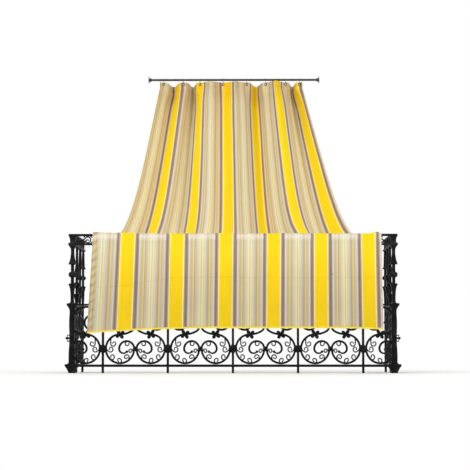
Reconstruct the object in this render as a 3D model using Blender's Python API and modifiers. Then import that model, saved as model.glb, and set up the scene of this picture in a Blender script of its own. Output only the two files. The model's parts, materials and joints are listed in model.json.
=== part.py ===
# Striped cloth awning hung from a rod by eyelets and hooks, laid over a wrought iron
# balcony railing that is its lower frame. Metres, +Z up, +Y towards the wall.

import math

import bmesh
import bpy
import numpy as np
from mathutils import Matrix, Vector

# Cloth
CLOTH_WIDTH = 2.00
CLOTH_THICK = 0.002
EYELET_FROM_SIDE = 0.040
EYELET_MARGIN = 0.016
HEM_BAND = 0.050
DROP_LENGTH = 0.636
DROP_CORNER_EXTRA = (0.035, 0.018)
DROP_CORNER_SHARE = (0.35, 0.15)
DROP_WAVE = 0.007
DROP_WAVES = 3.4
DROP_FLARE = (0.0316, 0.0149)
CLOTH_SHIFT_TOP = -0.0192
CLOTH_SHIFT_RAIL = 0.0277
CLOTH_SHIFT_HEM = 0.0223
SAG_BEHIND_RAIL = 0.150
# Width of the left and of the right half over the rail, as a share of its cloth
RAIL_GATHER = (1.000, 0.9575)
# Width of each gathered span between two eyelets, as a share of its cloth, left to right
SPAN_GATHER = (0.542, 0.435, 0.613, 0.624, 0.500, 0.528, 0.388)
# Share of each span's opening that is even on the way down; the rest comes near the rail
SPAN_SPREAD = (0.729, 0.864, 0.457, 0.386, 0.442, 0.685, 1.0)
SPREAD_POWER = 6.1
# +1 where a span bows forward, -1 where it bows back
SPAN_BOW = (-1, -1, 1, 1, -1, 1, -1)
# How far each span's top edge stands above its eyelets
SPAN_RISE = (-0.015, -0.015, -0.008, -0.008, -0.014, 0.002, -0.014)
# Half of a fold's round crest, as a share of the eyelet pitch, and how even its flanks are
CREST_SHARE = 0.09
FLANK_POWER = 0.5
FLAT_AT_EYELET = 0.013
# Below the hem the cloth is free of the eyelets' hold after this length
HOLD_BELOW_HEM = 0.150
HEM_FORM_FADE = 0.350
TIGHTEST_GATHER = 0.06
# Share of the way to the rail after which the folds flatten
FOLDS_FLATTEN_AT = 0.80
BINDING_HEIGHT = 0.013
BINDING_THICK = 0.0010

# Eyelets, hooks and rod
EYELET_HOLE = 0.0060
EYELET_TUBE = 0.0080
EYELET_FLANGE = 0.0115
EYELET_FLANGE_THICK = 0.0010
EYELET_SIDES = 8
HOOK_WIRE = 0.00175
HOOK_SHANK = 0.0245
HOOK_LOWER_LOOP = 0.0070
HOOK_PLAY = 0.0008
ROD_HEIGHT = 2.113
ROD_RADIUS = 0.0080
ROD_LENGTH = 1.220
ROD_DEPTH = 0.640
SOCKET_CUP_WALL = 0.0045
SOCKET_CUP = 0.0160
SOCKET_SEAT = 0.0120
SOCKET_FLANGE = 0.0260
SOCKET_FLANGE_THICK = 0.0040
SOCKET_SCREW_HOLE = 0.0022
SOCKET_SCREW_CIRCLE = 0.0190
ROD_SIDES = 24
SOCKET_SIDES = 14
SCREW_SIDES = 8
BOSS_SIDES = 10

# Railing
POST_SPAN = 2.180
RAIL_DEPTH = 0.700
HANDRAIL_TOP = 0.943
HANDRAIL_THICK = 0.0115
HANDRAIL_WIDTH = 0.044
HANDRAIL_END = 0.0265
HANDRAIL_ROUND = 0.004
BAR_THICK = 0.012
BAR_WIDTH = 0.030
FRIEZE_BAR_TOP = 0.879
MIDDLE_BAR_TOP = 0.4686
BOTTOM_BAR_TOP = 0.0587
UPRIGHT_COUNT = 5
# From the middle of a corner post to the middle of the first upright beside it
END_BAY = 0.210
SIDE_UPRIGHT = 0.270
WALL_POST_INSET = 0.020

# Half-widths of the square bars and of the corner post, from its top to its foot
UPRIGHT = 0.0080
COLLAR = 0.0120
COLLAR_HEIGHT = 0.018
COLLAR_EASE = 0.001
# Round bosses that hold two rings to an upright, in front of the bars and behind them
BOSS_RADIUS = 0.025
BOSS_EDGE = 0.003
BOSS_DEPTH = 0.010
POST_TOP = 0.026
POST_THROAT = 0.018
FRIEZE_POST = 0.029
POST_NECK = 0.0125
MIDDLE_POST = 0.037
POST_PILASTER = 0.028
BOTTOM_POST = 0.047
POST_FOOT = 0.026
POST_EASE = 0.002
POST_TOP_HEIGHT = 0.014
POST_THROAT_ABOVE = 0.012
POST_FLARE_BELOW = 0.022
POST_CAP_ABOVE = 0.014
POST_CAP_BELOW = 0.006
PILASTER_EASE_HEIGHT = 0.038
PILASTER_FOOT = (0.004, 0.050, 0.016)
POST_FOOT_HEIGHT = 0.006
# Turning between two bars: shares of the height, and how far each stands out from the neck
NECK_SWELL = 0.003
FLARE = 0.0105
BEAD = 0.0125
BEAD_SIDE = 0.0085
TURNING_SHARE = (
    1.0, 0.72, 0.675, 0.667, 0.545, 0.525, 0.50, 0.475, 0.455, 0.345, 0.335, 0.24, 0.0)
TURNING_OUT = (
    0.0, NECK_SWELL, FLARE, 0.0, 0.0, BEAD_SIDE, BEAD, BEAD_SIDE, 0.0, 0.0, FLARE, NECK_SWELL,
    0.0)
TURNING_ABOVE_BAR = 0.020
TURNING_BELOW_BAR = 0.005

# Scroll bars: width in the panel by depth through it
SCROLL_BAR = 0.009
SCROLL_DEPTH = 0.014
CURL_BAR = 0.006
CURL_DEPTH = 0.010
TIE_WALL = 0.002
# The scroll as arcs (radius, degrees, + left, - right) and straight runs (length, None)
RING = 0.0995
LOWER_VOLUTE = ((0.028, -180), (0.053, -270), (RING, -270))
UPPER_VOLUTE = (
    (0.160, 30), (0.040, 60), (0.034, None), (RING, 180), (0.0595, 90), (0.050, 180),
    (0.030, 170))
# Curls inside the ring: the angles where they leave it, and their arc
CURL_ANGLES = (148, 188, 223, 266, 301, 343)
CURL_BEND = (0.021, -260)
END_STRIP = 0.006
# How far an end scroll would run past the middle of the corner post that cuts it off
END_PAST_POST = 0.00985

# Clearances
GAP = 0.0003
CLOTH_GAP = 0.0006
MERGE = 0.00005

# How finely round and gathered shapes are divided
SPAN_COLUMNS = 4
BACK_ROWS = 11
BEND_ROWS = 3
DROP_ROWS = 3
HOOK_BENDS = 5
# How far the middle of a straight facet may lie inside its arc
ARC_SAG = 0.005


# Materials

def material(name, colour, roughness, metallic=0.0):
    made = bpy.data.materials.new(name)
    made.use_nodes = True
    shader = made.node_tree.nodes["Principled BSDF"]
    shader.inputs["Base Color"].default_value = (*colour, 1.0)
    shader.inputs["Roughness"].default_value = roughness
    shader.inputs["Metallic"].default_value = metallic
    made.diffuse_color = (*colour, 1.0)
    return made


# Scene and object helpers

def clear_scene():
    for thing in list(bpy.data.objects):
        bpy.data.objects.remove(thing, do_unlink=True)


def new_collection(name):
    made = bpy.data.collections.new(name)
    bpy.context.scene.collection.children.link(made)
    return made


def put(name, mesh, finish, location=(0.0, 0.0, 0.0), turn_z=0.0):
    made = bpy.data.objects.new(name, mesh)
    made.location = location
    made.rotation_euler = (0.0, 0.0, turn_z)
    made.parent = ROOT
    PARTS.objects.link(made)
    if finish is not None and not mesh.materials:
        mesh.materials.append(finish)
    return made


def guide(name, mesh):
    made = bpy.data.objects.new(name, mesh)
    made.hide_render = True
    made.display_type = "WIRE"
    CUTTERS.objects.link(made)
    return made


def evaluated(thing):
    """The mesh that an object has with its modifiers, in world space."""
    bpy.context.view_layer.update()
    view = bpy.context.evaluated_depsgraph_get()
    mesh = bpy.data.meshes.new_from_object(thing.evaluated_get(view), depsgraph=view)
    mesh.transform(thing.matrix_world)
    work = bmesh.new()
    work.from_mesh(mesh)
    bmesh.ops.remove_doubles(work, verts=work.verts, dist=MERGE)
    work.to_mesh(mesh)
    work.free()
    return mesh


def used_up(*things):
    for thing in things:
        bpy.data.objects.remove(thing, do_unlink=True)


def box_mesh(name, low, high):
    """A box from its lowest to its highest corner."""
    work = bmesh.new()
    bmesh.ops.create_cube(work, size=1.0)
    low = Vector(low)
    high = Vector(high)
    bmesh.ops.scale(work, vec=high - low, verts=work.verts)
    bmesh.ops.translate(work, vec=(low + high) / 2, verts=work.verts)
    mesh = bpy.data.meshes.new(name)
    work.to_mesh(mesh)
    work.free()
    return mesh


def cylinder_mesh(name, radius, length, sides, turn, places):
    """Cylinders of one size, turned by a matrix, with their middles at the places."""
    work = bmesh.new()
    for place in places:
        bmesh.ops.create_cone(
            work, cap_ends=True, segments=sides, radius1=radius, radius2=radius,
            depth=length, matrix=Matrix.Translation(place) @ turn)
    mesh = bpy.data.meshes.new(name)
    work.to_mesh(mesh)
    work.free()
    return mesh


def boolean(thing, operation, other):
    change = thing.modifiers.new(operation.title(), "BOOLEAN")
    change.operation = operation
    change.object = other
    change.solver = "EXACT"
    return change


def turned(name, profile, steps, closed=False, square=False):
    """A profile of (radius, height) points turned about Z; square gives four flat sides."""
    work = bmesh.new()
    share = 1.0 if square else 0.0
    verts = [work.verts.new((radius, radius * share, height)) for radius, height in profile]
    for first, second in zip(verts, verts[1:]):
        work.edges.new((first, second))
    if closed:
        work.edges.new((verts[-1], verts[0]))
    mesh = bpy.data.meshes.new(name + "_profile")
    work.to_mesh(mesh)
    work.free()
    thing = guide(name + "_profile", mesh)
    screw = thing.modifiers.new("Turn", "SCREW")
    screw.steps = steps
    screw.render_steps = steps
    screw.use_merge_vertices = True
    screw.merge_threshold = MERGE
    screw.use_smooth_shade = not square
    made = evaluated(thing)
    made.name = name
    used_up(thing)
    if not square:
        made.set_sharp_from_angle(angle=math.radians(40))
    return made


def facet_turn(radius):
    """The bend between two straight facets of an arc, in degrees."""
    return 2 * math.degrees(math.acos(1.0 - ARC_SAG / radius))


def arc_chain(start, heading, arcs):
    """Points along straight runs and arcs, from a start and a heading in degrees."""
    x, z = start
    points = [(x, z)]
    for size, turn in arcs:
        if turn is None:
            x += size * math.cos(math.radians(heading))
            z += size * math.sin(math.radians(heading))
            points.append((x, z))
            continue
        side = math.copysign(90.0, turn)
        middle_x = x + size * math.cos(math.radians(heading + side))
        middle_z = z + size * math.sin(math.radians(heading + side))
        count = max(1, round(abs(turn) / facet_turn(size)))
        for k in range(1, count + 1):
            at = heading - side + turn * k / count
            x = middle_x + size * math.cos(math.radians(at))
            z = middle_z + size * math.sin(math.radians(at))
            points.append((x, z))
        heading += turn
    return points


def flat_bar(name, points, width, depth):
    """A flat bar of width by depth bent along points in the XZ plane."""
    curve = bpy.data.curves.new(name, "CURVE")
    curve.dimensions = "2D"
    curve.fill_mode = "NONE"
    curve.extrude = depth / 2
    spline = curve.splines.new("POLY")
    spline.points.add(len(points) - 1)
    for point, (x, z) in zip(spline.points, points):
        point.co = (x, z, 0.0, 1.0)
    strip = guide(name, curve)
    strip.rotation_euler = (math.radians(90), 0.0, 0.0)
    mesh = evaluated(strip)
    used_up(strip)
    bar = guide(name, mesh)
    wall = bar.modifiers.new("Bar", "SOLIDIFY")
    wall.thickness = width
    wall.offset = 0.0
    wall.use_even_offset = True
    solid = evaluated(bar)
    used_up(bar)
    return guide(name, solid)


def wire_mesh(name, points, radius):
    """Round wire along points."""
    curve = bpy.data.curves.new(name, "CURVE")
    curve.dimensions = "3D"
    curve.bevel_depth = radius
    curve.bevel_resolution = 1
    curve.use_fill_caps = True
    spline = curve.splines.new("POLY")
    spline.points.add(len(points) - 1)
    for point, place in zip(spline.points, points):
        point.co = (*place, 1.0)
    thing = guide(name, curve)
    mesh = evaluated(thing)
    mesh.name = name
    used_up(thing)
    mesh.shade_smooth()
    mesh.set_sharp_from_angle(angle=math.radians(50))
    return mesh


def united(name, pieces):
    """One closed body from pieces that run into each other."""
    base = pieces[0]
    for other in pieces[1:]:
        boolean(base, "UNION", other)
    mesh = evaluated(base)
    mesh.name = name
    used_up(*pieces)
    return mesh


# Side view of the hanging cloth, as a catenary from the hem band to the handrail

def smooth(value):
    value = np.clip(value, 0.0, 1.0)
    return value * value * (3.0 - 2.0 * value)


def side_view():
    """Sampled middle line of the cloth: length from the top, depth, height."""
    over = HANDRAIL_TOP + CLOTH_GAP + CLOTH_THICK / 2
    back = HANDRAIL_WIDTH / 2 - HANDRAIL_ROUND / 2
    band_low = CLOTH_TOP - HEM_BAND
    low, high = 0.03, 3.0
    for _ in range(60):
        scale = (low + high) / 2
        rise = scale * (math.cosh((CLOTH_DEPTH - SAG_BEHIND_RAIL) / scale)
                        - math.cosh((back - SAG_BEHIND_RAIL) / scale))
        if rise > band_low - over:
            low = scale
        else:
            high = scale
    depth = np.linspace(CLOTH_DEPTH, back, 1200)
    height = over + scale * (np.cosh((depth - SAG_BEHIND_RAIL) / scale)
                             - math.cosh((back - SAG_BEHIND_RAIL) / scale))
    length = HEM_BAND + np.concatenate(
        ([0.0], np.cumsum(np.hypot(np.diff(depth), np.diff(height)))))
    return length, depth, height


def row_stations(length, depth, rows):
    """Rows between the hem band and the rail, closer where the cloth curves."""
    even = (length - length[0]) / (length[-1] - length[0])
    across = (depth[0] - depth) / (depth[0] - depth[-1])
    return np.interp(np.linspace(0.0, 1.0, rows + 1), 0.5 * (even + across), length)


# Gathers between the eyelets

def eyelet_places():
    """Distance of each eyelet from the cloth's left edge."""
    return [EYELET_FROM_SIDE + EYELET_PITCH * k for k in range(len(SPAN_GATHER) + 1)]


def span_at(along):
    """The span between two eyelets that each place belongs to."""
    places = eyelet_places()
    return np.clip(np.searchsorted(places, along, side="right") - 1, 0, len(SPAN_GATHER) - 1)


def rail_gather(span):
    """Gather over the rail, easing from the left half's to the right half's."""
    left, right = RAIL_GATHER
    middle = EYELET_FROM_SIDE + EYELET_PITCH * (span + 0.5)
    return left + (right - left) * smooth(2.0 * middle / CLOTH_WIDTH - 0.5)


def rail_places(columns):
    """Places across of the cloth over the rail."""
    along = np.linspace(0.0, CLOTH_WIDTH, 1401)
    gather = rail_gather(span_at(along))
    step = along[1] - along[0]
    x = np.concatenate(([0.0], np.cumsum((gather[1:] + gather[:-1]) / 2 * step)))
    return np.interp(columns, along, x - x[-1] / 2) + CLOTH_SHIFT_RAIL


def flank_pattern(along):
    """+1 where the cloth runs forward along its width, -1 where it runs back."""
    places = eyelet_places()
    knots = [0.0]
    signs = [SPAN_BOW[0]]
    for place, bow in zip(places, SPAN_BOW):
        middle = place + EYELET_PITCH / 2
        knots += [middle - EYELET_PITCH * CREST_SHARE, middle + EYELET_PITCH * CREST_SHARE]
        signs += [bow, -bow]
    knots.append(CLOTH_WIDTH)
    signs.append(-SPAN_BOW[-1])
    at = np.clip(np.searchsorted(knots, along, side="right") - 1, 0, len(knots) - 2)
    knots = np.array(knots)
    signs = np.array(signs, float)
    share = smooth((along - knots[at]) / (knots[at + 1] - knots[at]))
    return signs[at] * (1.0 - share) + signs[at + 1] * share


def gathered_row(way, from_top):
    """Places across and forward of fine steps along one row, way being 0 at the top and 1
    at the rail."""
    along = np.linspace(0.0, CLOTH_WIDTH, 1401)
    places = np.array(eyelet_places())
    near = np.abs(along[:, None] - places[None, :]).min(axis=1)
    flat = 1.0 - smooth((near - FLAT_AT_EYELET) / (1.5 * FLAT_AT_EYELET))
    held = 1.0 - smooth((from_top - HEM_BAND) / HOLD_BELOW_HEM)
    lean = flank_pattern(along) * (1.0 - flat * held)
    span = span_at(along)
    across = np.ones_like(along)
    for k, (share, steady) in enumerate(zip(SPAN_GATHER, SPAN_SPREAD)):
        here = span == k
        spread = steady * way + (1.0 - steady) * way ** SPREAD_POWER
        ratio = share + (rail_gather(k) - share) * spread
        form = np.abs(lean[here]) ** FLANK_POWER
        across[here] = 1.0 - (1.0 - ratio) / form.mean() * form
    across = np.clip(across, TIGHTEST_GATHER, 1.0)
    rise = np.sign(lean) * np.sqrt(1.0 - across ** 2)
    step = along[1] - along[0]
    x = np.concatenate(([0.0], np.cumsum((across[1:] + across[:-1]) / 2 * step)))
    forward = np.concatenate(([0.0], np.cumsum((rise[1:] + rise[:-1]) / 2 * step)))
    forward -= np.interp(along, places, np.interp(places, along, forward))
    forward *= 1.0 - smooth((way - FOLDS_FLATTEN_AT) / (1.0 - FOLDS_FLATTEN_AT))
    shift = CLOTH_SHIFT_TOP + (CLOTH_SHIFT_RAIL - CLOTH_SHIFT_TOP) * way
    return along, x - x[-1] / 2 + shift, forward


def hem_offset(along):
    """How far the top edge sags or stands between the eyelets."""
    places = np.array(eyelet_places())
    span = span_at(along)
    reach = EYELET_PITCH - 2 * FLAT_AT_EYELET
    share = np.clip((along - places[span] - FLAT_AT_EYELET) / reach, 0.0, 1.0)
    inside = (along > places[0]) & (along < places[-1])
    return np.where(inside, np.array(SPAN_RISE)[span] * np.sin(math.pi * share) ** 2, 0.0)


def drop_length(along):
    """Length of the front drop, longer at its two corners."""
    left = np.clip(1.0 - along / (DROP_CORNER_SHARE[0] * CLOTH_WIDTH), 0.0, 1.0)
    right = np.clip(
        (along / CLOTH_WIDTH - 1.0 + DROP_CORNER_SHARE[1]) / DROP_CORNER_SHARE[1], 0.0, 1.0)
    return DROP_LENGTH + DROP_CORNER_EXTRA[0] * left ** 2 + DROP_CORNER_EXTRA[1] * right ** 2


def cloth_columns(between):
    """Distances across the cloth, with a flat strip at each eyelet."""
    places = eyelet_places()
    columns = [0.0, places[0] - FLAT_AT_EYELET]
    for first, second in zip(places, places[1:]):
        columns += list(np.linspace(
            first + FLAT_AT_EYELET, second - FLAT_AT_EYELET, between + 1))
    columns += [places[-1] + FLAT_AT_EYELET, CLOTH_WIDTH]
    return np.array(columns)


def back_rows(columns, stations, length, depth, height):
    """Points of the part behind the rail, one list for each row."""
    rows = []
    slope_depth = np.gradient(depth, length)
    slope_height = np.gradient(height, length)
    for station in stations:
        way = (station - HEM_BAND) / (length[-1] - HEM_BAND)
        along, x, forward = gathered_row(max(way, 0.0), station)
        x = np.interp(columns, along, x)
        forward = np.interp(columns, along, forward)
        d = np.interp(station, length, depth)
        z = np.interp(station, length, height)
        run_d = np.interp(station, length, slope_depth)
        run_z = np.interp(station, length, slope_height)
        if station <= HEM_BAND:
            d, z = CLOTH_DEPTH, CLOTH_TOP - station
            run_d, run_z = 0.0, -1.0
        size = math.hypot(run_d, run_z)
        sag = hem_offset(columns) * (1.0 - smooth(station / HEM_FORM_FADE))
        rows.append([
            (float(px), float(d + f * run_z / size), float(z - f * run_d / size + s))
            for px, f, s in zip(x, forward, sag)])
    return rows


def rail_rows(columns, turns):
    """Points of the rows over the handrail, down to where the drop starts."""
    half = HANDRAIL_WIDTH / 2
    radius = HANDRAIL_ROUND + CLOTH_GAP + CLOTH_THICK / 2
    middle_d = HANDRAIL_ROUND - half
    middle_z = HANDRAIL_TOP - HANDRAIL_ROUND
    x = rail_places(columns)
    rows = []
    for k in range(turns + 1):
        angle = math.pi / 2 * k / turns
        d = middle_d - radius * math.sin(angle)
        z = middle_z + radius * math.cos(angle)
        rows.append([(float(px), d, z) for px in x])
    return rows


def drop_rows(columns, steps):
    """Points of the front drop, which widens slightly and waves at its hem."""
    top_z = HANDRAIL_TOP - HANDRAIL_ROUND
    side = 2.0 * columns / CLOTH_WIDTH - 1.0
    flare = np.where(side > 0.0, DROP_FLARE[1], -DROP_FLARE[0]) * side ** 2
    rows = []
    for k in range(1, steps + 1):
        share = k / steps
        x = rail_places(columns) + (flare + CLOTH_SHIFT_HEM - CLOTH_SHIFT_RAIL) * share
        wave = 0.5 - 0.5 * np.cos(2 * math.pi * DROP_WAVES * columns / CLOTH_WIDTH)
        d = DROP_DEPTH - DROP_WAVE * wave * share
        z = top_z - drop_length(columns) * share
        rows.append([tuple(map(float, place)) for place in zip(x, d, z)])
    return rows


def grid_mesh(name, rows):
    """A sheet of quads through rows of points, facing away from the wall."""
    across = len(rows[0])
    work = bmesh.new()
    bmesh.ops.create_grid(
        work, x_segments=across - 1, y_segments=len(rows) - 1, size=0.5)
    ordered = sorted(work.verts, key=lambda v: (round(-v.co.y, 4), round(v.co.x, 4)))
    for vert, place in zip(ordered, (place for row in rows for place in row)):
        vert.co = place
    mesh = bpy.data.meshes.new(name)
    work.to_mesh(mesh)
    work.free()
    return mesh


def thicken(thing, thickness):
    wall = thing.modifiers.new("Cloth", "SOLIDIFY")
    wall.thickness = thickness
    wall.offset = 0.0
    wall.use_even_offset = False
    return wall


# Cloth, its binding and its eyelets

def awning_cloth():
    columns = cloth_columns(SPAN_COLUMNS)
    length, depth, height = side_view()
    stations = np.concatenate(([0.0], row_stations(length, depth, BACK_ROWS)))
    rows = back_rows(columns, stations, length, depth, height)
    rows += rail_rows(columns, BEND_ROWS)
    rows += drop_rows(columns, DROP_ROWS)
    sheet = guide("cloth_sheet", grid_mesh("awning_cloth", rows))
    thicken(sheet, CLOTH_THICK)
    places = [Vector((x, CLOTH_DEPTH, EYELET_Z)) for x in eyelet_across()]
    turn = Matrix.Rotation(math.radians(90), 4, "X") @ Matrix.Rotation(math.radians(90), 4, "Z")
    holes = guide("eyelet_holes", cylinder_mesh(
        "eyelet_holes", EYELET_TUBE + GAP, 12 * CLOTH_THICK, EYELET_SIDES, turn, places))
    boolean(sheet, "DIFFERENCE", holes)
    mesh = evaluated(sheet)
    mesh.name = "awning_cloth"
    used_up(sheet, holes)
    mesh.shade_smooth()
    mesh.set_sharp_from_angle(angle=math.radians(35))
    put("awning_cloth", mesh, material("striped_cloth", (0.62, 0.52, 0.33), 0.85))


def bottom_binding():
    """A tape folded round the bottom edge of the drop."""
    above, edge = drop_rows(cloth_columns(SPAN_COLUMNS), DROP_ROWS)[-2:]
    out = CLOTH_THICK / 2 + GAP + BINDING_THICK / 2
    rows = [[], [], [], []]
    for (x, d, z), (x_up, d_up, z_up) in zip(edge, above):
        share = BINDING_HEIGHT / (z_up - z)
        side_x = x + (x_up - x) * share
        side_d = d + (d_up - d) * share
        rows[0].append((side_x, side_d + out, z + BINDING_HEIGHT))
        rows[1].append((x, d + out, z - out))
        rows[2].append((x, d - out, z - out))
        rows[3].append((side_x, side_d - out, z + BINDING_HEIGHT))
    thing = put("bottom_binding", grid_mesh("bottom_binding", rows),
                material("binding_tape", (0.80, 0.55, 0.03), 0.8))
    thicken(thing, BINDING_THICK)


def eyelet_across():
    """Where the eyelets are across the frame."""
    along, x, _ = gathered_row(0.0, EYELET_MARGIN)
    return [float(np.interp(place, along, x)) for place in eyelet_places()]


def eyelet_mesh():
    face = CLOTH_THICK / 2 + GAP
    out = face + EYELET_FLANGE_THICK
    profile = [
        (EYELET_HOLE, out), (EYELET_FLANGE, face), (EYELET_TUBE, face),
        (EYELET_TUBE, -face), (EYELET_FLANGE, -face), (EYELET_HOLE, -out)]
    mesh = turned("eyelet", profile, EYELET_SIDES, closed=True)
    mesh.transform(Matrix.Rotation(math.radians(90), 4, "X"))
    return mesh


def eyelets():
    finish = material("eyelet_metal", (0.30, 0.27, 0.22), 0.35, 1.0)
    mesh = eyelet_mesh()
    for k, x in enumerate(eyelet_across(), start=1):
        put(f"eyelet_{k}", mesh, finish, (x, CLOTH_DEPTH, EYELET_Z))


# Hooks, rod and sockets

def hook_points():
    """The hook in its own plane, from behind the rod over it and down through the eyelet."""
    points = []
    for k in range(HOOK_BENDS + 1):
        angle = math.radians(-100 + 190 * k / HOOK_BENDS)
        points.append((0.0, -HOOK_UPPER_LOOP * math.sin(angle),
                       HOOK_UPPER_LOOP * math.cos(angle)))
    middle_y = HOOK_LOWER_LOOP - HOOK_UPPER_LOOP
    for k in range(HOOK_BENDS + 1):
        angle = math.radians(180 + 195 * k / HOOK_BENDS)
        points.append((0.0, middle_y + HOOK_LOWER_LOOP * math.cos(angle),
                       -HOOK_SHANK + HOOK_LOWER_LOOP * math.sin(angle)))
    return points


def hooks():
    finish = material("hook_wire", (0.62, 0.60, 0.55), 0.3, 1.0)
    mesh = wire_mesh("s_hook", hook_points(), HOOK_WIRE)
    for k, x in enumerate(eyelet_across(), start=1):
        put(f"s_hook_{k}", mesh, finish, (x, ROD_DEPTH, ROD_HEIGHT))


def hanging_rod():
    mesh = cylinder_mesh(
        "hanging_rod", ROD_RADIUS, ROD_LENGTH, ROD_SIDES,
        Matrix.Rotation(math.radians(90), 4, "Y"), [Vector((0.0, 0.0, 0.0))])
    mesh.shade_smooth()
    mesh.set_sharp_from_angle(angle=math.radians(40))
    put("hanging_rod", mesh, material("rod_steel", (0.20, 0.18, 0.16), 0.4, 1.0),
        (0.0, ROD_DEPTH, ROD_HEIGHT))


def rod_sockets():
    finish = material("socket_metal", (0.22, 0.20, 0.18), 0.45, 1.0)
    bore = ROD_RADIUS + GAP
    cup = bore + SOCKET_CUP_WALL
    top = SOCKET_FLANGE_THICK + SOCKET_CUP
    profile = [
        (0.0, top - SOCKET_SEAT), (bore, top - SOCKET_SEAT), (bore, top), (cup, top),
        (cup, SOCKET_FLANGE_THICK), (SOCKET_FLANGE, SOCKET_FLANGE_THICK),
        (SOCKET_FLANGE, 0.0), (0.0, 0.0)]
    body = guide("socket_body", turned("rod_socket", profile, SOCKET_SIDES))
    places = [Vector((0.0, side * SOCKET_SCREW_CIRCLE, SOCKET_FLANGE_THICK / 2))
              for side in (-1, 1)]
    holes = guide("screw_holes", cylinder_mesh(
        "screw_holes", SOCKET_SCREW_HOLE, 2 * SOCKET_FLANGE_THICK, SCREW_SIDES, Matrix(),
        places))
    boolean(body, "DIFFERENCE", holes)
    mesh = evaluated(body)
    mesh.name = "rod_socket"
    used_up(body, holes)
    out = ROD_LENGTH / 2 + GAP - SOCKET_SEAT + top
    for name, side in (("left", -1), ("right", 1)):
        turned_mesh = mesh.copy()
        turned_mesh.transform(Matrix.Rotation(math.radians(-90 * side), 4, "Y"))
        put(f"rod_socket_{name}", turned_mesh, finish, (side * out, ROD_DEPTH, ROD_HEIGHT))


# Railing bars

def punched_bar(name, low, high, across, finish, holes):
    """A flat bar with square holes where the uprights pass, at (x, y) places."""
    thing = guide(name, box_mesh(name, low, high))
    cutters = []
    reach = across + GAP
    for x, y in holes:
        cutter = guide("hole", box_mesh(
            "hole", (x - reach, y - reach, low[2] - BAR_THICK),
            (x + reach, y + reach, high[2] + BAR_THICK)))
        boolean(thing, "DIFFERENCE", cutter)
        cutters.append(cutter)
    mesh = evaluated(thing)
    used_up(thing, *cutters)
    put(name, mesh, finish)


def railing_bars(finish):
    """The three flat bars under the handrail, at the front and on both sides."""
    half = BAR_WIDTH / 2
    for name, top, post in (
            ("frieze_bar", FRIEZE_BAR_TOP, FRIEZE_POST),
            ("middle_bar", MIDDLE_BAR_TOP, MIDDLE_POST),
            ("bottom_bar", BOTTOM_BAR_TOP, BOTTOM_POST)):
        reach = POST_SPAN / 2 - post - GAP
        punched_bar(
            f"{name}_front", (-reach, -half, top - BAR_THICK), (reach, half, top), UPRIGHT,
            finish, [(x, 0.0) for x in front_uprights()])
        for side_name, side in (("left", -1), ("right", 1)):
            x = side * POST_SPAN / 2
            punched_bar(
                f"{name}_{side_name}", (x - half, post + GAP, top - BAR_THICK),
                (x + half, RAIL_DEPTH, top), UPRIGHT, finish,
                [(x, SIDE_UPRIGHT), (x, WALL_POST)])


def rounded_bar(name, low, high, finish):
    """The handrail's bar, with its long top edges rounded."""
    mesh = box_mesh(name, low, high)
    thing = put(name, mesh, finish)
    along = 0 if high[0] - low[0] > high[1] - low[1] else 1
    edges = bmesh.new()
    edges.from_mesh(mesh)
    weight = edges.edges.layers.float.new("bevel_weight_edge")
    for edge in edges.edges:
        run = edge.verts[0].co - edge.verts[1].co
        long_edge = abs(run[along]) > 0.9 * (high[along] - low[along])
        if long_edge and edge.verts[0].co.z > (low[2] + high[2]) / 2:
            edge[weight] = 1.0
    edges.to_mesh(mesh)
    edges.free()
    bevel = thing.modifiers.new("Round", "BEVEL")
    bevel.limit_method = "WEIGHT"
    bevel.width = HANDRAIL_ROUND
    bevel.segments = 3
    return thing


def handrails(finish):
    half = HANDRAIL_WIDTH / 2
    low = HANDRAIL_TOP - HANDRAIL_THICK
    end = POST_SPAN / 2 + HANDRAIL_END
    rounded_bar("handrail_front", (-end, -half, low), (end, half, HANDRAIL_TOP), finish)
    for name, side in (("left", -1), ("right", 1)):
        x = side * POST_SPAN / 2
        rounded_bar(f"handrail_{name}", (x - half, half + GAP, low),
                    (x + half, RAIL_DEPTH, HANDRAIL_TOP), finish)


# Posts, uprights and balusters

def baluster_zone(low, high, neck):
    """Half-widths and heights of the turned-looking stretch between two bars, from the top."""
    return [(neck + out, low + (high - low) * share)
            for share, out in zip(TURNING_SHARE, TURNING_OUT)]


def square_profile(points):
    """A profile with its two ends closed to the axis."""
    return [(0.0, points[0][1])] + list(points) + [(0.0, points[-1][1])]


def post_profile():
    """Half-widths and heights of the square corner post, from the top."""
    top = HANDRAIL_TOP - HANDRAIL_THICK - GAP
    frieze_low = FRIEZE_BAR_TOP - BAR_THICK
    middle_low = MIDDLE_BAR_TOP - BAR_THICK
    bottom_low = BOTTOM_BAR_TOP - BAR_THICK
    ease_out, ease_high, ease_low = PILASTER_FOOT
    profile = [
        (POST_TOP, top), (POST_THROAT + POST_EASE, top - POST_TOP_HEIGHT),
        (POST_THROAT, FRIEZE_BAR_TOP + POST_THROAT_ABOVE), (FRIEZE_POST, FRIEZE_BAR_TOP),
        (FRIEZE_POST - POST_EASE, frieze_low)]
    profile += baluster_zone(
        MIDDLE_BAR_TOP + POST_CAP_ABOVE, frieze_low - POST_FLARE_BELOW, POST_NECK)
    profile += [
        (MIDDLE_POST, MIDDLE_BAR_TOP), (MIDDLE_POST, middle_low),
        (POST_PILASTER + POST_EASE, middle_low - POST_CAP_BELOW),
        (POST_PILASTER, middle_low - PILASTER_EASE_HEIGHT),
        (POST_PILASTER, BOTTOM_BAR_TOP + ease_high),
        (POST_PILASTER + ease_out, BOTTOM_BAR_TOP + ease_low),
        (BOTTOM_POST, BOTTOM_BAR_TOP - POST_CAP_BELOW), (BOTTOM_POST, bottom_low - COLLAR_EASE),
        (POST_FOOT, POST_FOOT_HEIGHT), (POST_FOOT, 0.0)]
    return profile


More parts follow.
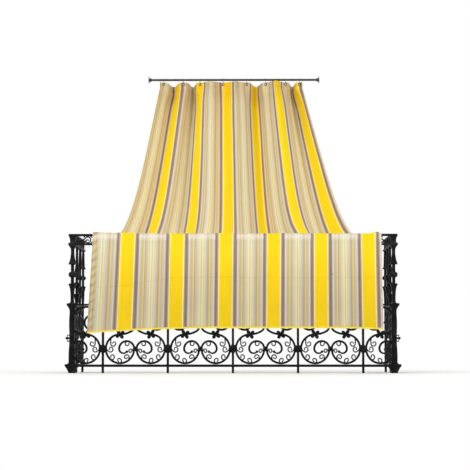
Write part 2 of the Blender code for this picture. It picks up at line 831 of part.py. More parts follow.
def corner_posts(finish):
    mesh = turned("corner_post", square_profile(post_profile()), 4, square=True)
    for name, side in (("left", -1), ("right", 1)):
        put(f"corner_post_{name}", mesh, finish, (side * POST_SPAN / 2, 0.0, 0.0))


def front_uprights():
    half = (UPRIGHT_COUNT - 1) / 2
    return [UPRIGHT_PITCH * (k - half) for k in range(UPRIGHT_COUNT)]


def boss(height, side):
    """A round boss on one face of an upright, clear of the scroll bars beside it."""
    face = SCROLL_DEPTH / 2 + GAP
    rise = BOSS_DEPTH - BOSS_EDGE
    profile = [
        (0.0, face + BOSS_DEPTH), (BOSS_RADIUS * math.sin(math.radians(45)),
                                   face + BOSS_EDGE + rise * math.cos(math.radians(45))),
        (BOSS_RADIUS, face + BOSS_EDGE), (BOSS_RADIUS, face), (0.0, face)]
    made = guide("boss", turned("boss", profile, BOSS_SIDES))
    made.data.transform(Matrix.Rotation(math.radians(-90 * side), 4, "X"))
    made.data.transform(Matrix.Translation((0.0, 0.0, height)))
    return made


def uprights(finish):
    """Square bars from the floor to the handrail, with collars where the scrolls are tied."""
    profile = [(UPRIGHT, HANDRAIL_TOP - HANDRAIL_THICK - GAP)]
    profile += baluster_zone(
        MIDDLE_BAR_TOP + TURNING_ABOVE_BAR, FRIEZE_BAR_TOP - BAR_THICK - TURNING_BELOW_BAR,
        UPRIGHT)
    for height in sorted(collar_heights(), reverse=True):
        half = COLLAR_HEIGHT / 2
        profile += [
            (UPRIGHT, height + half), (COLLAR, height + half - COLLAR_EASE),
            (COLLAR, height - half + COLLAR_EASE), (UPRIGHT, height - half)]
    profile += [(UPRIGHT, 0.0)]
    plain = turned("wall_post", square_profile(profile), 4, square=True)
    mesh = united("upright", [guide("upright", plain.copy())] + [
        boss(min(collar_heights()), side) for side in (-1, 1)])
    for k, x in enumerate(front_uprights(), start=1):
        put(f"upright_front_{k}", mesh, finish, (x, 0.0, 0.0))
    for name, side in (("left", -1), ("right", 1)):
        x = side * POST_SPAN / 2
        put(f"upright_side_{name}", mesh, finish, (x, SIDE_UPRIGHT, 0.0), math.pi / 2)
        put(f"wall_post_{name}", plain, finish, (x, WALL_POST, 0.0))


def balusters(finish):
    """Short balusters between the middle bar and the frieze bar, one in each bay."""
    low = MIDDLE_BAR_TOP + GAP
    high = FRIEZE_BAR_TOP - BAR_THICK - GAP
    profile = baluster_zone(low, high, UPRIGHT)
    mesh = turned("baluster", square_profile(profile), 4, square=True)
    places = front_uprights()
    for k, (first, second) in enumerate(zip(places, places[1:]), start=1):
        put(f"baluster_front_{k}", mesh, finish, ((first + second) / 2, 0.0, 0.0))
    for name, side in (("left", -1), ("right", 1)):
        put(f"baluster_side_{name}", mesh, finish,
            (side * POST_SPAN / 2, (SIDE_UPRIGHT + WALL_POST) / 2, 0.0))


# Scroll panels

def scroll_points(left, right, low, high):
    """The S scroll fitted between two heights, its ring on the left: the bar's middle line,
    and a function that places a point given from the ring's middle."""
    drawn = arc_chain((0.0, 0.0), 0.0, LOWER_VOLUTE + UPPER_VOLUTE)
    xs = [x for x, _ in drawn]
    zs = [z for _, z in drawn]
    sharpest = max(facet_turn(radius) for radius, _ in (LOWER_VOLUTE[-1], UPPER_VOLUTE[-2]))
    bar = SCROLL_BAR / math.cos(math.radians(sharpest / 2))
    scale_x = (right - left - bar) / (max(xs) - min(xs))
    scale_z = (high - low - bar) / (max(zs) - min(zs))
    ring = arc_chain((0.0, 0.0), 0.0, LOWER_VOLUTE)
    ring_x = ring[-1][0]
    ring_z = ring[-1][1] - RING

    def place(x, z):
        return (left + bar / 2 + (x - min(xs)) * scale_x,
                low + bar / 2 + (z - min(zs)) * scale_z)

    return [place(x, z) for x, z in drawn], lambda x, z: place(ring_x + x, ring_z + z)


def scroll_zone():
    return BOTTOM_BAR_TOP + GAP, MIDDLE_BAR_TOP - BAR_THICK - GAP


def collar_heights():
    """Heights at which the scrolls touch the uprights."""
    low, high = scroll_zone()
    points, from_ring = scroll_points(0.0, 2 * RING, low, high)
    _, ring_height = from_ring(0.0, 0.0)
    upper = [(x, z) for x, z in points if z > ring_height + RING]
    return [ring_height, min(upper)[1]]


def scroll_unit(name, left, right, curls):
    """The pieces of one scroll; left is its upright's side, and may be the larger value."""
    low, high = scroll_zone()
    width = abs(right - left)
    side = 1 if right > left else -1
    points, from_ring = scroll_points(0.0, width, low, high)
    pieces = [flat_bar(
        name, [(left + side * x, z) for x, z in points], SCROLL_BAR, SCROLL_DEPTH)]
    if curls:
        for angle in CURL_ANGLES:
            start = (RING * math.cos(math.radians(angle)), RING * math.sin(math.radians(angle)))
            drawn = [from_ring(x, z) for x, z in arc_chain(start, angle - 90, (CURL_BEND,))]
            pieces.append(flat_bar(
                name + "_curl", [(left + side * x, z) for x, z in drawn], CURL_BAR, CURL_DEPTH))
    return pieces


def scroll_pair(name, half_width, curls):
    """Two scrolls that mirror each other, tied by collars in the middle."""
    pieces = scroll_unit(name, -half_width, -GAP / 2, curls)
    pieces += scroll_unit(name, half_width, GAP / 2, curls)
    low, high = scroll_zone()
    points, from_ring = scroll_points(0.0, half_width, low, high)
    _, ring_height = from_ring(0.0, 0.0)
    arm = [z for x, z in points if z > ring_height + RING and x > half_width - 2 * SCROLL_BAR]
    for height in (ring_height, sum(arm) / len(arm)):
        half = COLLAR_HEIGHT / 2
        pieces.append(guide("tie", box_mesh(
            "tie", (-SCROLL_BAR - TIE_WALL, -SCROLL_DEPTH / 2 - TIE_WALL, height - half),
            (SCROLL_BAR + TIE_WALL, SCROLL_DEPTH / 2 + TIE_WALL, height + half))))
    return united(name, pieces)


def scroll_end(name, post):
    """A scroll cut off where it meets the corner post, its cut ends joined by a strip up the
    post's face. The post's middle is given from the scroll's upright side."""
    half = SCROLL_DEPTH / 2
    width = post + END_PAST_POST
    strip = guide("strip", box_mesh(
        "strip", (post - POST_PILASTER - POST_EASE - END_STRIP, -half,
                  BOTTOM_BAR_TOP + PILASTER_FOOT[2]),
        (post, half, MIDDLE_BAR_TOP - BAR_THICK - POST_CAP_BELOW)))
    whole = guide(name, united(name, scroll_unit(name, 0.0, width, True) + [strip]))
    room = [(radius + GAP, height) for radius, height in post_profile()]
    cutter = guide("post_room", turned("post_room", square_profile(room), 4, square=True))
    cutter.location.x = post
    boolean(whole, "DIFFERENCE", cutter)
    mesh = evaluated(whole)
    mesh.name = name
    used_up(whole, cutter)
    return mesh


def front_scrolls(finish):
    places = front_uprights()
    reach = COLLAR + GAP
    pair = scroll_pair("scrolls_front", UPRIGHT_PITCH / 2 - reach, True)
    for k, (first, second) in enumerate(zip(places, places[1:]), start=2):
        put(f"scrolls_front_{k}", pair, finish, ((first + second) / 2, 0.0, 0.0))
    single = scroll_end("scrolls_front_end", END_BAY - reach)
    put(f"scrolls_front_{len(places) + 1}", single, finish, (places[-1] + reach, 0.0, 0.0))
    put("scrolls_front_1", single, finish, (places[0] - reach, 0.0, 0.0), math.pi)


def side_scrolls(finish):
    reach = COLLAR + GAP
    near = POST_PILASTER + POST_EASE + GAP
    single = united("scrolls_side_end", scroll_unit(
        "scrolls_side_end", 0.0, SIDE_UPRIGHT - reach - near, False))
    single.transform(Matrix.Rotation(math.radians(-90), 4, "Z"))
    half = (WALL_POST - SIDE_UPRIGHT) / 2 - reach
    pair = scroll_pair("scrolls_side", half, False)
    pair.transform(Matrix.Rotation(math.radians(-90), 4, "Z"))
    for name, side in (("left", -1), ("right", 1)):
        x = side * POST_SPAN / 2
        put(f"scrolls_side_{name}_1", single, finish, (x, SIDE_UPRIGHT - reach, 0.0))
        put(f"scrolls_side_{name}_2", pair, finish, (x, (WALL_POST + SIDE_UPRIGHT) / 2, 0.0))


def centre_on_floor():
    """Moves the whole object so that the middle of its footprint is the origin."""
    bpy.context.view_layer.update()
    view = bpy.context.evaluated_depsgraph_get()
    low, high = [], []
    for thing in PARTS.objects:
        if thing.type != "MESH":
            continue
        shape = thing.evaluated_get(view)
        corners = [thing.matrix_world @ Vector(corner) for corner in shape.bound_box]
        low.append([min(c[k] for c in corners) for k in range(3)])
        high.append([max(c[k] for c in corners) for k in range(3)])
    middle = (np.min(low, axis=0) + np.max(high, axis=0)) / 2
    ROOT.location = (-middle[0], -middle[1], -np.min(low, axis=0)[2])
    bpy.context.view_layer.update()


# Values that follow from those above

EYELET_PITCH = (CLOTH_WIDTH - 2 * EYELET_FROM_SIDE) / len(SPAN_GATHER)
HOOK_UPPER_LOOP = ROD_RADIUS + HOOK_WIRE + HOOK_PLAY
CLOTH_DEPTH = ROD_DEPTH + HOOK_LOWER_LOOP - HOOK_UPPER_LOOP
EYELET_Z = (ROD_HEIGHT - HOOK_SHANK - HOOK_LOWER_LOOP
            - (EYELET_HOLE * math.cos(math.pi / EYELET_SIDES) - HOOK_WIRE - HOOK_PLAY))
CLOTH_TOP = EYELET_Z + EYELET_MARGIN
UPRIGHT_PITCH = (POST_SPAN - 2 * END_BAY) / (UPRIGHT_COUNT - 1)
WALL_POST = RAIL_DEPTH - WALL_POST_INSET
DROP_DEPTH = -(HANDRAIL_WIDTH / 2 + CLOTH_GAP + CLOTH_THICK / 2)

clear_scene()
PARTS = new_collection("striped_awning")
CUTTERS = new_collection("cutters")
ROOT = bpy.data.objects.new("awning_root", None)
PARTS.objects.link(ROOT)

awning_cloth()
bottom_binding()
eyelets()
hooks()
hanging_rod()
rod_sockets()
IRON = material("wrought_iron", (0.012, 0.012, 0.013), 0.5, 0.8)
handrails(IRON)
railing_bars(IRON)
corner_posts(IRON)
uprights(IRON)
balusters(IRON)
front_scrolls(IRON)
side_scrolls(IRON)
centre_on_floor()
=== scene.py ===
# Striped awning cloth, hung by hooks from a rod and laid over a wrought iron balcony railing
import json
import math

import bmesh
import bpy
import numpy as np
from mathutils import Matrix, Vector, noise

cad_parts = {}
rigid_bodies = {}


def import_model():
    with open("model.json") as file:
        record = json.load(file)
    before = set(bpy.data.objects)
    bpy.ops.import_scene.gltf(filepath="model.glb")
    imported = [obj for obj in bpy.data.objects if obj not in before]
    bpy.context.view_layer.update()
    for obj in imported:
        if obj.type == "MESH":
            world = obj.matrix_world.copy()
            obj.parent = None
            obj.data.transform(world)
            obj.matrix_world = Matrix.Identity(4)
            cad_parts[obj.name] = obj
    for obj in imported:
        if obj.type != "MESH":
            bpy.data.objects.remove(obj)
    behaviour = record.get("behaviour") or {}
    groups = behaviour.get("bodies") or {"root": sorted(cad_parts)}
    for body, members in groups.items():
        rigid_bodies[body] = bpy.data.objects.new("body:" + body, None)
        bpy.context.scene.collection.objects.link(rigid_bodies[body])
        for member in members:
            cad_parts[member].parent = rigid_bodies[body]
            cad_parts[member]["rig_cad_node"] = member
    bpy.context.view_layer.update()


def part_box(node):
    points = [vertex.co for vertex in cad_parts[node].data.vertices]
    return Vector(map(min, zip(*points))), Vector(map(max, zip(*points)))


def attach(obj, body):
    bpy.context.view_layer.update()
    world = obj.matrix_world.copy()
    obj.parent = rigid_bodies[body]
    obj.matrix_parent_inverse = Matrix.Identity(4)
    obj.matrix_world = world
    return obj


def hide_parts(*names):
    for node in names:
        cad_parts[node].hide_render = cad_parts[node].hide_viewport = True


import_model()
print("frame loaded")


# Places that the frame gives

def middleOf(node):
    low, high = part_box(node)
    return (low + high) / 2


railLow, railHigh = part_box("handrail_front")
railMiddle = middleOf("handrail_front")
railWidth = railHigh.y - railLow.y
rodMiddle = middleOf("hanging_rod")
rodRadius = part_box("hanging_rod")[1].z - rodMiddle.z
eyeletNames = [f"eyelet_{k}" for k in range(1, 9)]
hookNames = [f"s_hook_{k}" for k in range(1, 9)]
eyeletMiddles = [middleOf(name) for name in eyeletNames]


# Shader nodes written as expressions

class Channel:
    # one socket of a finish; arithmetic on it adds Math nodes
    def __init__(self, finish, socket):
        self.finish = finish
        self.socket = socket

    def combine(self, operation, first, second=0.0):
        return self.finish.add("Math", {"operation": operation}, {0: first, 1: second})

    def __add__(self, other):
        return self.combine("ADD", self, other)

    def __radd__(self, other):
        return self.combine("ADD", other, self)

    def __sub__(self, other):
        return self.combine("SUBTRACT", self, other)

    def __rsub__(self, other):
        return self.combine("SUBTRACT", other, self)

    def __mul__(self, other):
        return self.combine("MULTIPLY", self, other)

    def __rmul__(self, other):
        return self.combine("MULTIPLY", other, self)

    def __truediv__(self, other):
        return self.combine("DIVIDE", self, other)

    def __gt__(self, other):
        return self.combine("GREATER_THAN", self, other)

    def __lt__(self, other):
        return self.combine("LESS_THAN", self, other)

    def sine(self):
        return self.combine("SINE", self)

    def fraction(self):
        return self.combine("FRACT", self)

    def size(self):
        return self.combine("ABSOLUTE", self)

    def part(self, index):
        return self.finish.add("SeparateXYZ", {}, {0: self}, index)

    def eased(self, low, high):
        return self.finish.add(
            "MapRange", {"interpolation_type": "SMOOTHSTEP"},
            {"Value": self, "From Min": low, "From Max": high})


class Finish:
    # a material whose nodes all come from add()
    def __init__(self, name, roughness=0.5, metallic=0.0, **constants):
        self.material = bpy.data.materials.new(name)
        self.material.use_nodes = True
        self.tree = self.material.node_tree
        self.shader = self.tree.nodes["Principled BSDF"]
        self.put("Roughness", roughness)
        self.put("Metallic", metallic)
        for socket, value in constants.items():
            self.put(socket.replace("_", " "), value)

    def feed(self, socket, value):
        if isinstance(value, Channel):
            self.tree.links.new(value.socket, socket)
        elif isinstance(value, tuple) and len(value) == 3 and socket.type == "RGBA":
            socket.default_value = (*value, 1.0)
        else:
            socket.default_value = value

    def add(self, kind, settings, values, output=0):
        node = self.tree.nodes.new("ShaderNode" + kind)
        for key, value in settings.items():
            if key == "stops":
                self.setStops(node.color_ramp, value)
            elif key == "interpolation":
                node.color_ramp.interpolation = value
            else:
                setattr(node, key, value)
        for key, value in values.items():
            self.feed(node.inputs[key], value)
        return Channel(self, node.outputs[output])

    def setStops(self, ramp, stops):
        while len(ramp.elements) < len(stops):
            ramp.elements.new(0.5)
        for element, (at, colour) in zip(ramp.elements, stops):
            element.position = at
        for element, (at, colour) in zip(ramp.elements, stops):
            element.color = (*colour, 1.0)

    def put(self, socket, value):
        self.feed(self.shader.inputs[socket], value)

    def ramp(self, value, stops, interpolation="LINEAR"):
        return self.add("ValToRGB", {"interpolation": interpolation, "stops": stops}, {0: value})

    def mix(self, share, first, second, blend="MIX"):
        return self.add(
            "Mix", {"data_type": "RGBA", "blend_type": blend}, {0: share, 6: first, 7: second}, 2)

    def vector(self, x, y, z=0.0):
        return self.add("CombineXYZ", {}, {0: x, 1: y, 2: z})

    def stretched(self, vector, factors):
        return self.add("VectorMath", {"operation": "MULTIPLY"}, {0: vector, 1: factors})

    def noise(self, vector, scale, detail=2.0):
        return self.add(
            "TexNoise", {}, {"Vector": vector, "Scale": scale, "Detail": detail})

    def objectPlace(self):
        return self.add("TexCoord", {}, {}, "Object")

    def bump(self, height, strength, distance):
        self.put("Normal", self.add(
            "Bump", {}, {"Height": height, "Strength": strength, "Distance": distance}))


def paint(red, green, blue):
    # an 8 bit display colour as the linear colour that a shader takes
    def linear(value):
        value = value / 255
        return value / 12.92 if value <= 0.04045 else ((value + 0.055) / 1.055) ** 2.4
    return (linear(red), linear(green), linear(blue))


# Meshes and pieces

def gridMesh(name, points, places=None, closed=False):
    # a sheet of quads through rows of points, with the cloth's own places as its UV map
    rows, columns = points.shape[:2]
    index = np.arange(rows * columns).reshape(rows, columns)
    if closed:
        index = np.concatenate((index, index[:, :1]), axis=1)
    quads = np.stack(
        (index[:-1, :-1], index[1:, :-1], index[1:, 1:], index[:-1, 1:]), axis=-1).reshape(-1, 4)
    mesh = bpy.data.meshes.new(name)
    mesh.from_pydata(points.reshape(-1, 3).tolist(), [], quads.tolist())
    if places is not None:
        layer = mesh.uv_layers.new(name="cloth")
        corner = np.zeros(len(mesh.loops), dtype=np.int32)
        mesh.loops.foreach_get("vertex_index", corner)
        layer.data.foreach_set("uv", places.reshape(-1, 2)[corner].ravel())
    mesh.shade_smooth()
    return mesh


def loosePiece(name, mesh):
    piece = bpy.data.objects.new(name, mesh)
    bpy.context.scene.collection.objects.link(piece)
    return piece


def solidMesh(piece):
    # the mesh that a piece has with its modifiers; the piece is used up
    bpy.context.view_layer.update()
    graph = bpy.context.evaluated_depsgraph_get()
    mesh = bpy.data.meshes.new_from_object(piece.evaluated_get(graph), depsgraph=graph)
    bpy.data.objects.remove(piece, do_unlink=True)
    return mesh


def thicken(piece, thickness):
    wall = piece.modifiers.new("Thickness", "SOLIDIFY")
    wall.thickness = thickness
    wall.offset = 0.0


def cutMesh(piece, cutterMesh):
    # the mesh of a piece with another cut out of it; the piece is used up
    cutter = loosePiece("cutter", cutterMesh)
    cut = piece.modifiers.new("Cut", "BOOLEAN")
    cut.operation = "DIFFERENCE"
    cut.object = cutter
    cut.solver = "EXACT"
    mesh = solidMesh(piece)
    bpy.data.objects.remove(cutter, do_unlink=True)
    return mesh


def workOn(*meshes):
    work = bmesh.new()
    for mesh in meshes:
        work.from_mesh(mesh)
    return work


def workMesh(name, work):
    # bmesh work as a mesh; the work is used up
    mesh = bpy.data.meshes.new(name)
    work.to_mesh(mesh)
    work.free()
    return mesh


def blockWork(low, high):
    # bmesh work that starts as a block between two corners
    low = Vector(low)
    high = Vector(high)
    work = bmesh.new()
    bmesh.ops.create_cube(work, size=1.0)
    bmesh.ops.scale(work, vec=high - low, verts=work.verts)
    bmesh.ops.translate(work, vec=(low + high) / 2, verts=work.verts)
    return work


def addPiece(name, mesh, finish, replaced=(), place=(0.0, 0.0, 0.0)):
    mesh.materials.clear()
    mesh.materials.append(finish.material)
    piece = loosePiece(name, mesh)
    piece.location = place
    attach(piece, "root")
    if replaced:
        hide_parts(*replaced)
    return piece


def joinedMesh(name, meshes, sharpAbove=None):
    # several meshes as one, each keeping its own shells
    made = workMesh(name, workOn(*meshes))
    made.shade_smooth()
    if sharpAbove is not None:
        made.set_sharp_from_angle(angle=math.radians(sharpAbove))
    return made


def closedMesh(name, points):
    # rows of points closed round, with rows that meet in one place drawn together
    work = workOn(gridMesh(name, np.array(points), closed=True))
    bmesh.ops.remove_doubles(work, verts=work.verts, dist=0.00001)
    bmesh.ops.recalc_face_normals(work, faces=work.faces)
    mesh = workMesh(name, work)
    mesh.shade_smooth()
    return mesh


def turnedMesh(name, profile, steps, closed=False):
    # a profile of (radius, height) points turned about Z
    radius = np.array([point[0] for point in profile])
    height = np.array([point[1] for point in profile])
    if closed:
        radius = np.append(radius, radius[0])
        height = np.append(height, height[0])
    angle = np.linspace(0.0, 2 * math.pi, steps, endpoint=False)
    return closedMesh(name, np.stack((
        radius[:, None] * np.cos(angle), radius[:, None] * np.sin(angle),
        height[:, None] + 0 * angle), axis=-1))


def smooth(value):
    value = np.clip(value, 0.0, 1.0)
    return value * value * (3.0 - 2.0 * value)


def addedUp(values, step):
    # running total of values that stand a step apart
    return np.concatenate(([0.0], np.cumsum((values[1:] + values[:-1]) / 2 * step)))


def polar(radius, degrees, middle=(0.0, 0.0)):
    angle = math.radians(degrees)
    return middle[0] + radius * math.cos(angle), middle[1] + radius * math.sin(angle)


def turned(degrees, axis):
    return Matrix.Rotation(math.radians(degrees), 4, axis)


# Camera, lamps and floor

view = {
    "distance": 10.7,       # from the rail's plane
    "height": 0.130,
    "across": 0.116,
    "aimAcross": 0.014,     # what the middle of the picture meets in the rail's plane
    "aimHeight": 0.936,
    "seenWidth": 3.196,     # width of the picture in the rail's plane
    "sensor": 36.0,
}

light = {
    "ambient": 0.76,
    "key": {"place": (-3.4, -6.0, 6.4), "size": 3.2, "power": 238.0},
    "fill": {"place": (5.5, -6.0, 2.2), "size": 4.0, "power": 96.0},
    "back": {"place": (1.0, 5.5, 4.5), "size": 4.0, "power": 85.0},
    "aim": (0.0, -0.2, 1.0),
}


def makeCamera():
    place = Vector((view["across"], railMiddle.y - view["distance"], view["height"]))
    aim = Vector((view["aimAcross"], railMiddle.y, view["aimHeight"]))
    data = bpy.data.cameras.new("camera")
    camera = bpy.data.objects.new("camera", data)
    bpy.context.scene.collection.objects.link(camera)
    camera.location = place
    camera.rotation_euler = (aim - place).to_track_quat("-Z", "Y").to_euler()
    data.sensor_width = view["sensor"]
    data.lens = view["sensor"] * (aim - place).length / view["seenWidth"]
    data.clip_end = 100.0
    bpy.context.scene.camera = camera


def makeLamp(name, settings):
    data = bpy.data.lights.new(name, "AREA")
    data.shape = "DISK"
    data.size = settings["size"]
    data.energy = settings["power"]
    lamp = bpy.data.objects.new(name, data)
    bpy.context.scene.collection.objects.link(lamp)
    lamp.location = settings["place"]
    aim = Vector(light["aim"]) - Vector(settings["place"])
    lamp.rotation_euler = aim.to_track_quat("-Z", "Y").to_euler()


def makeSurroundings():
    world = bpy.data.worlds.new("studio")
    bpy.context.scene.world = world
    world.use_nodes = True
    nodes = world.node_tree.nodes
    links = world.node_tree.links
    soft = nodes["Background"]
    plain = nodes.new("ShaderNodeBackground")
    for shade, strength in ((soft, light["ambient"]), (plain, 1.0)):
        shade.inputs["Color"].default_value = (1.0, 1.0, 1.0, 1.0)
        shade.inputs["Strength"].default_value = strength
    ray = nodes.new("ShaderNodeLightPath")
    seen = nodes.new("ShaderNodeMath")
    seen.operation = "MAXIMUM"
    links.new(ray.outputs["Is Camera Ray"], seen.inputs[0])
    links.new(ray.outputs["Is Transmission Ray"], seen.inputs[1])
    choice = nodes.new("ShaderNodeMixShader")
    links.new(seen.outputs[0], choice.inputs[0])
    links.new(soft.outputs[0], choice.inputs[1])
    links.new(plain.outputs[0], choice.inputs[2])
    links.new(choice.outputs[0], nodes["World Output"].inputs["Surface"])
    for name in ("key", "fill", "back"):
        makeLamp(name + "_lamp", light[name])


def makeFloor():
    floor = {"reach": 40.0, "colour": (0.955, 0.955, 0.95), "near": 1.3, "far": 3.4}
    work = bmesh.new()
    bmesh.ops.create_grid(work, x_segments=8, y_segments=8, size=floor["reach"])
    mesh = workMesh("floor", work)
    piece = loosePiece("floor", mesh)
    finish = Finish("floor", roughness=0.9)
    place = finish.objectPlace()
    grain = finish.noise(place, 3.0)
    finish.put("Base Color", finish.mix(
        grain, floor["colour"], tuple(0.97 * share for share in floor["colour"])))
    # far from the object the floor turns into the plain white of the background
    flat = finish.stretched(place, (1.0, 1.0, 0.0))
    distance = finish.add("VectorMath", {"operation": "LENGTH"}, {0: flat}, "Value")
    rays = [finish.add("LightPath", {}, {}, name)
            for name in ("Is Camera Ray", "Is Glossy Ray", "Is Transmission Ray")]
    seen = (rays[0] + rays[1] + rays[2]) * distance.eased(floor["near"], floor["far"])
    white = finish.add("Emission", {}, {"Color": (1.0, 1.0, 1.0), "Strength": 1.0})
    lit = Channel(finish, finish.shader.outputs[0])
    blend = finish.add("MixShader", {}, {0: seen, 1: lit, 2: white})
    output = finish.tree.nodes["Material Output"]
    finish.tree.links.new(blend.socket, output.inputs["Surface"])
    mesh.materials.append(finish.material)


# Cloth: the sheet

cloth = {
    "width": 2.00,
    "thickness": 0.0012,
    "eyeletFromSide": 0.040,
    "eyeletMargin": 0.016,
    "hemBand": 0.050,
    "dropLength": 0.636,
    "cornerExtra": (0.034, 0.009),
    "cornerShare": (0.42, 0.17),
    "shift": (-0.0192, 0.0277, 0.0223),     # across, at the eyelets, the rail and the hem
    "sagBehindRail": 0.150,
    "railGather": (1.000, 0.9575),          # left and right half at the rail
    "spanGather": (0.542, 0.435, 0.613, 0.624, 0.500, 0.528, 0.388),
    "spanSpread": (0.729, 0.864, 0.457, 0.386, 0.442, 0.685, 1.0),  # share that opens steadily
    "spreadPower": 6.1,                     # of the share that opens near the rail
    "spanBow": (-1, -1, 1, 1, -1, 1, -1),   # +1 forward, -1 back
    "spanRise": (-0.015, -0.015, -0.008, -0.008, -0.014, -0.004, -0.014),
    "crestShare": 0.09,
    "flankPower": 0.5,
    "hemFlare": (0.0316, 0.0149),           # outwards at the lower corners
    "flatAtEyelet": 0.013,
    "holdBelowHem": 0.150,
    "hemFormFade": 0.350,
    "tightestGather": 0.06,
    "foldsFlattenAt": 0.80,
    "aboveRail": 0.0016,                    # the sheet's middle over the handrail
    "railRound": 0.004,
    "columnsInSpan": 18,
    "rowsBehind": 150,
    "rowsOver": 12,
    "rowsInDrop": 84,
    "dropWave": (0.007, 3.4),
    # loose bulges over the rail: place across, half-width, height
    "bulges": ((0.0, 0.035, 0.008), (0.065, 0.055, 0.009), (0.20, 0.07, 0.007),
               (0.40, 0.05, 0.003), (0.86, 0.06, 0.003), (1.32, 0.06, 0.003),
               (1.962, 0.030, 0.012)),
    "bulgeReach": (0.10, 0.11),             # behind the rail and down the drop
    "creaseHeight": 0.650,                  # packing crease across the drop
    "creaseSag": 0.065,                     # how much lower it runs at the left
    "pucker": (0.0026, 0.057, 0.030),       # height, pitch and reach from the side edge
    "puckerSlant": 0.75,
    "broadWrinkle": (6.5, 1.9, 0.0030),     # how many across and down a metre, and height
    "fineWrinkle": (24.0, 6.0, 0.0009),
    "dropWrinkle": 0.0035,                  # how much higher the broad ones are in the drop
    "creaseRidge": (0.0011, 0.006),         # height and half-width
    "creaseValley": (0.0022, 0.045),
    "hole": (0.0078, 0.01),                 # radius and half-depth of the cut for an eyelet
}

eyeletDepth = eyeletMiddles[0].y - railMiddle.y
clothTop = eyeletMiddles[0].z + cloth["eyeletMargin"]


def eyeletPlaces():
    # distance of each eyelet from the cloth's left edge
    count = len(cloth["spanGather"])
    pitch = (cloth["width"] - 2 * cloth["eyeletFromSide"]) / count
    return np.array([cloth["eyeletFromSide"] + pitch * k for k in range(count + 1)])


def spanAt(along, places):
    return np.clip(np.searchsorted(places, along, side="right") - 1, 0, len(places) - 2)


def hangingCurve():
    # the cloth's side view as a catenary: length from the top, depth and height
    over = railHigh.z + cloth["aboveRail"]
    back = railWidth / 2 - cloth["railRound"] / 2
    sag = cloth["sagBehindRail"]
    low, high = 0.03, 3.0
    for _ in range(60):
        scale = (low + high) / 2
        rise = scale * (math.cosh((eyeletDepth - sag) / scale) - math.cosh((back - sag) / scale))
        if rise > clothTop - cloth["hemBand"] - over:
            low = scale
        else:
            high = scale
    depth = np.linspace(eyeletDepth, back, 1200)
    height = over + scale * (np.cosh((depth - sag) / scale) - math.cosh((back - sag) / scale))
    steps = np.hypot(np.diff(depth), np.diff(height))
    return cloth["hemBand"] + np.concatenate(([0.0], np.cumsum(steps))), depth, height


def railGatherAt(span, places):
    # gather of the cloth where it lies over the rail, for a span between two eyelets
    left, right = cloth["railGather"]
    middle = (places[span] + places[span + 1]) / 2
    return left + (right - left) * smooth(2.0 * middle / cloth["width"] - 0.5)


def railPlaces(columns):
    # places across along the rail
    along = np.linspace(0.0, cloth["width"], 1401)
    places = eyeletPlaces()
    gather = railGatherAt(spanAt(along, places), places)
    x = addedUp(gather, along[1] - along[0])
    return np.interp(columns, along, x - x[-1] / 2) + cloth["shift"][1]


def flankPattern(along):
    # +1 where the cloth runs forward along its width, -1 where it runs back
    places = eyeletPlaces()
    pitch = places[1] - places[0]
    knots = [0.0]
    signs = [cloth["spanBow"][0]]
    for place, bow in zip(places, cloth["spanBow"]):
        knots += [place + pitch * (0.5 - cloth["crestShare"]),
                  place + pitch * (0.5 + cloth["crestShare"])]
        signs += [bow, -bow]
    knots.append(cloth["width"])
    signs.append(-cloth["spanBow"][-1])
    knots = np.array(knots)
    signs = np.array(signs, float)
    at = np.clip(np.searchsorted(knots, along, side="right") - 1, 0, len(knots) - 2)
    share = smooth((along - knots[at]) / (knots[at + 1] - knots[at]))
    return signs[at] * (1.0 - share) + signs[at + 1] * share


def gatheredRow(way, fromTop):
    # places across and forward along one row; way is 0 at the top and 1 at the rail
    along = np.linspace(0.0, cloth["width"], 1401)
    places = eyeletPlaces()
    flat = cloth["flatAtEyelet"]
    near = np.abs(along[:, None] - places[None, :]).min(axis=1)
    still = 1.0 - smooth((near - flat) / (1.5 * flat))
    held = 1.0 - smooth((fromTop - cloth["hemBand"]) / cloth["holdBelowHem"])
    lean = flankPattern(along) * (1.0 - still * held)
    span = spanAt(along, places)
    across = np.ones_like(along)
    for k, share in enumerate(cloth["spanGather"]):
        here = span == k
        steady = cloth["spanSpread"][k]
        spread = steady * way + (1.0 - steady) * way ** cloth["spreadPower"]
        ratio = share + (railGatherAt(k, places) - share) * spread
        form = np.abs(lean[here]) ** cloth["flankPower"]
        across[here] = 1.0 - (1.0 - ratio) / form.mean() * form
    across = np.clip(across, cloth["tightestGather"], 1.0)
    rise = np.sign(lean) * np.sqrt(1.0 - across ** 2)
    step = along[1] - along[0]
    x = addedUp(across, step)
    forward = addedUp(rise, step)
    forward -= np.interp(along, places, np.interp(places, along, forward))
    flatten = cloth["foldsFlattenAt"]
    forward *= 1.0 - smooth((way - flatten) / (1.0 - flatten))
    top, rail, _ = cloth["shift"]
    return along, x - x[-1] / 2 + top + (rail - top) * way, forward


def hemOffset(along):
    # how far the top edge sags or stands between the eyelets
    places = eyeletPlaces()
    flat = cloth["flatAtEyelet"]
    span = spanAt(along, places)
    share = np.clip((along - places[span] - flat) / (places[1] - places[0] - 2 * flat), 0.0, 1.0)
    inside = (along > places[0]) & (along < places[-1])
    rise = np.array(cloth["spanRise"])[span]
    return np.where(inside, rise * np.sin(math.pi * share) ** 2, 0.0)


def dropLength(along):
    leftShare, rightShare = cloth["cornerShare"]
    leftExtra, rightExtra = cloth["cornerExtra"]
    width = cloth["width"]
    left = np.clip(1.0 - along / (leftShare * width), 0.0, 1.0)
    right = np.clip((along / width - 1.0 + rightShare) / rightShare, 0.0, 1.0)
    return cloth["dropLength"] + leftExtra * left ** 2 + rightExtra * right ** 2


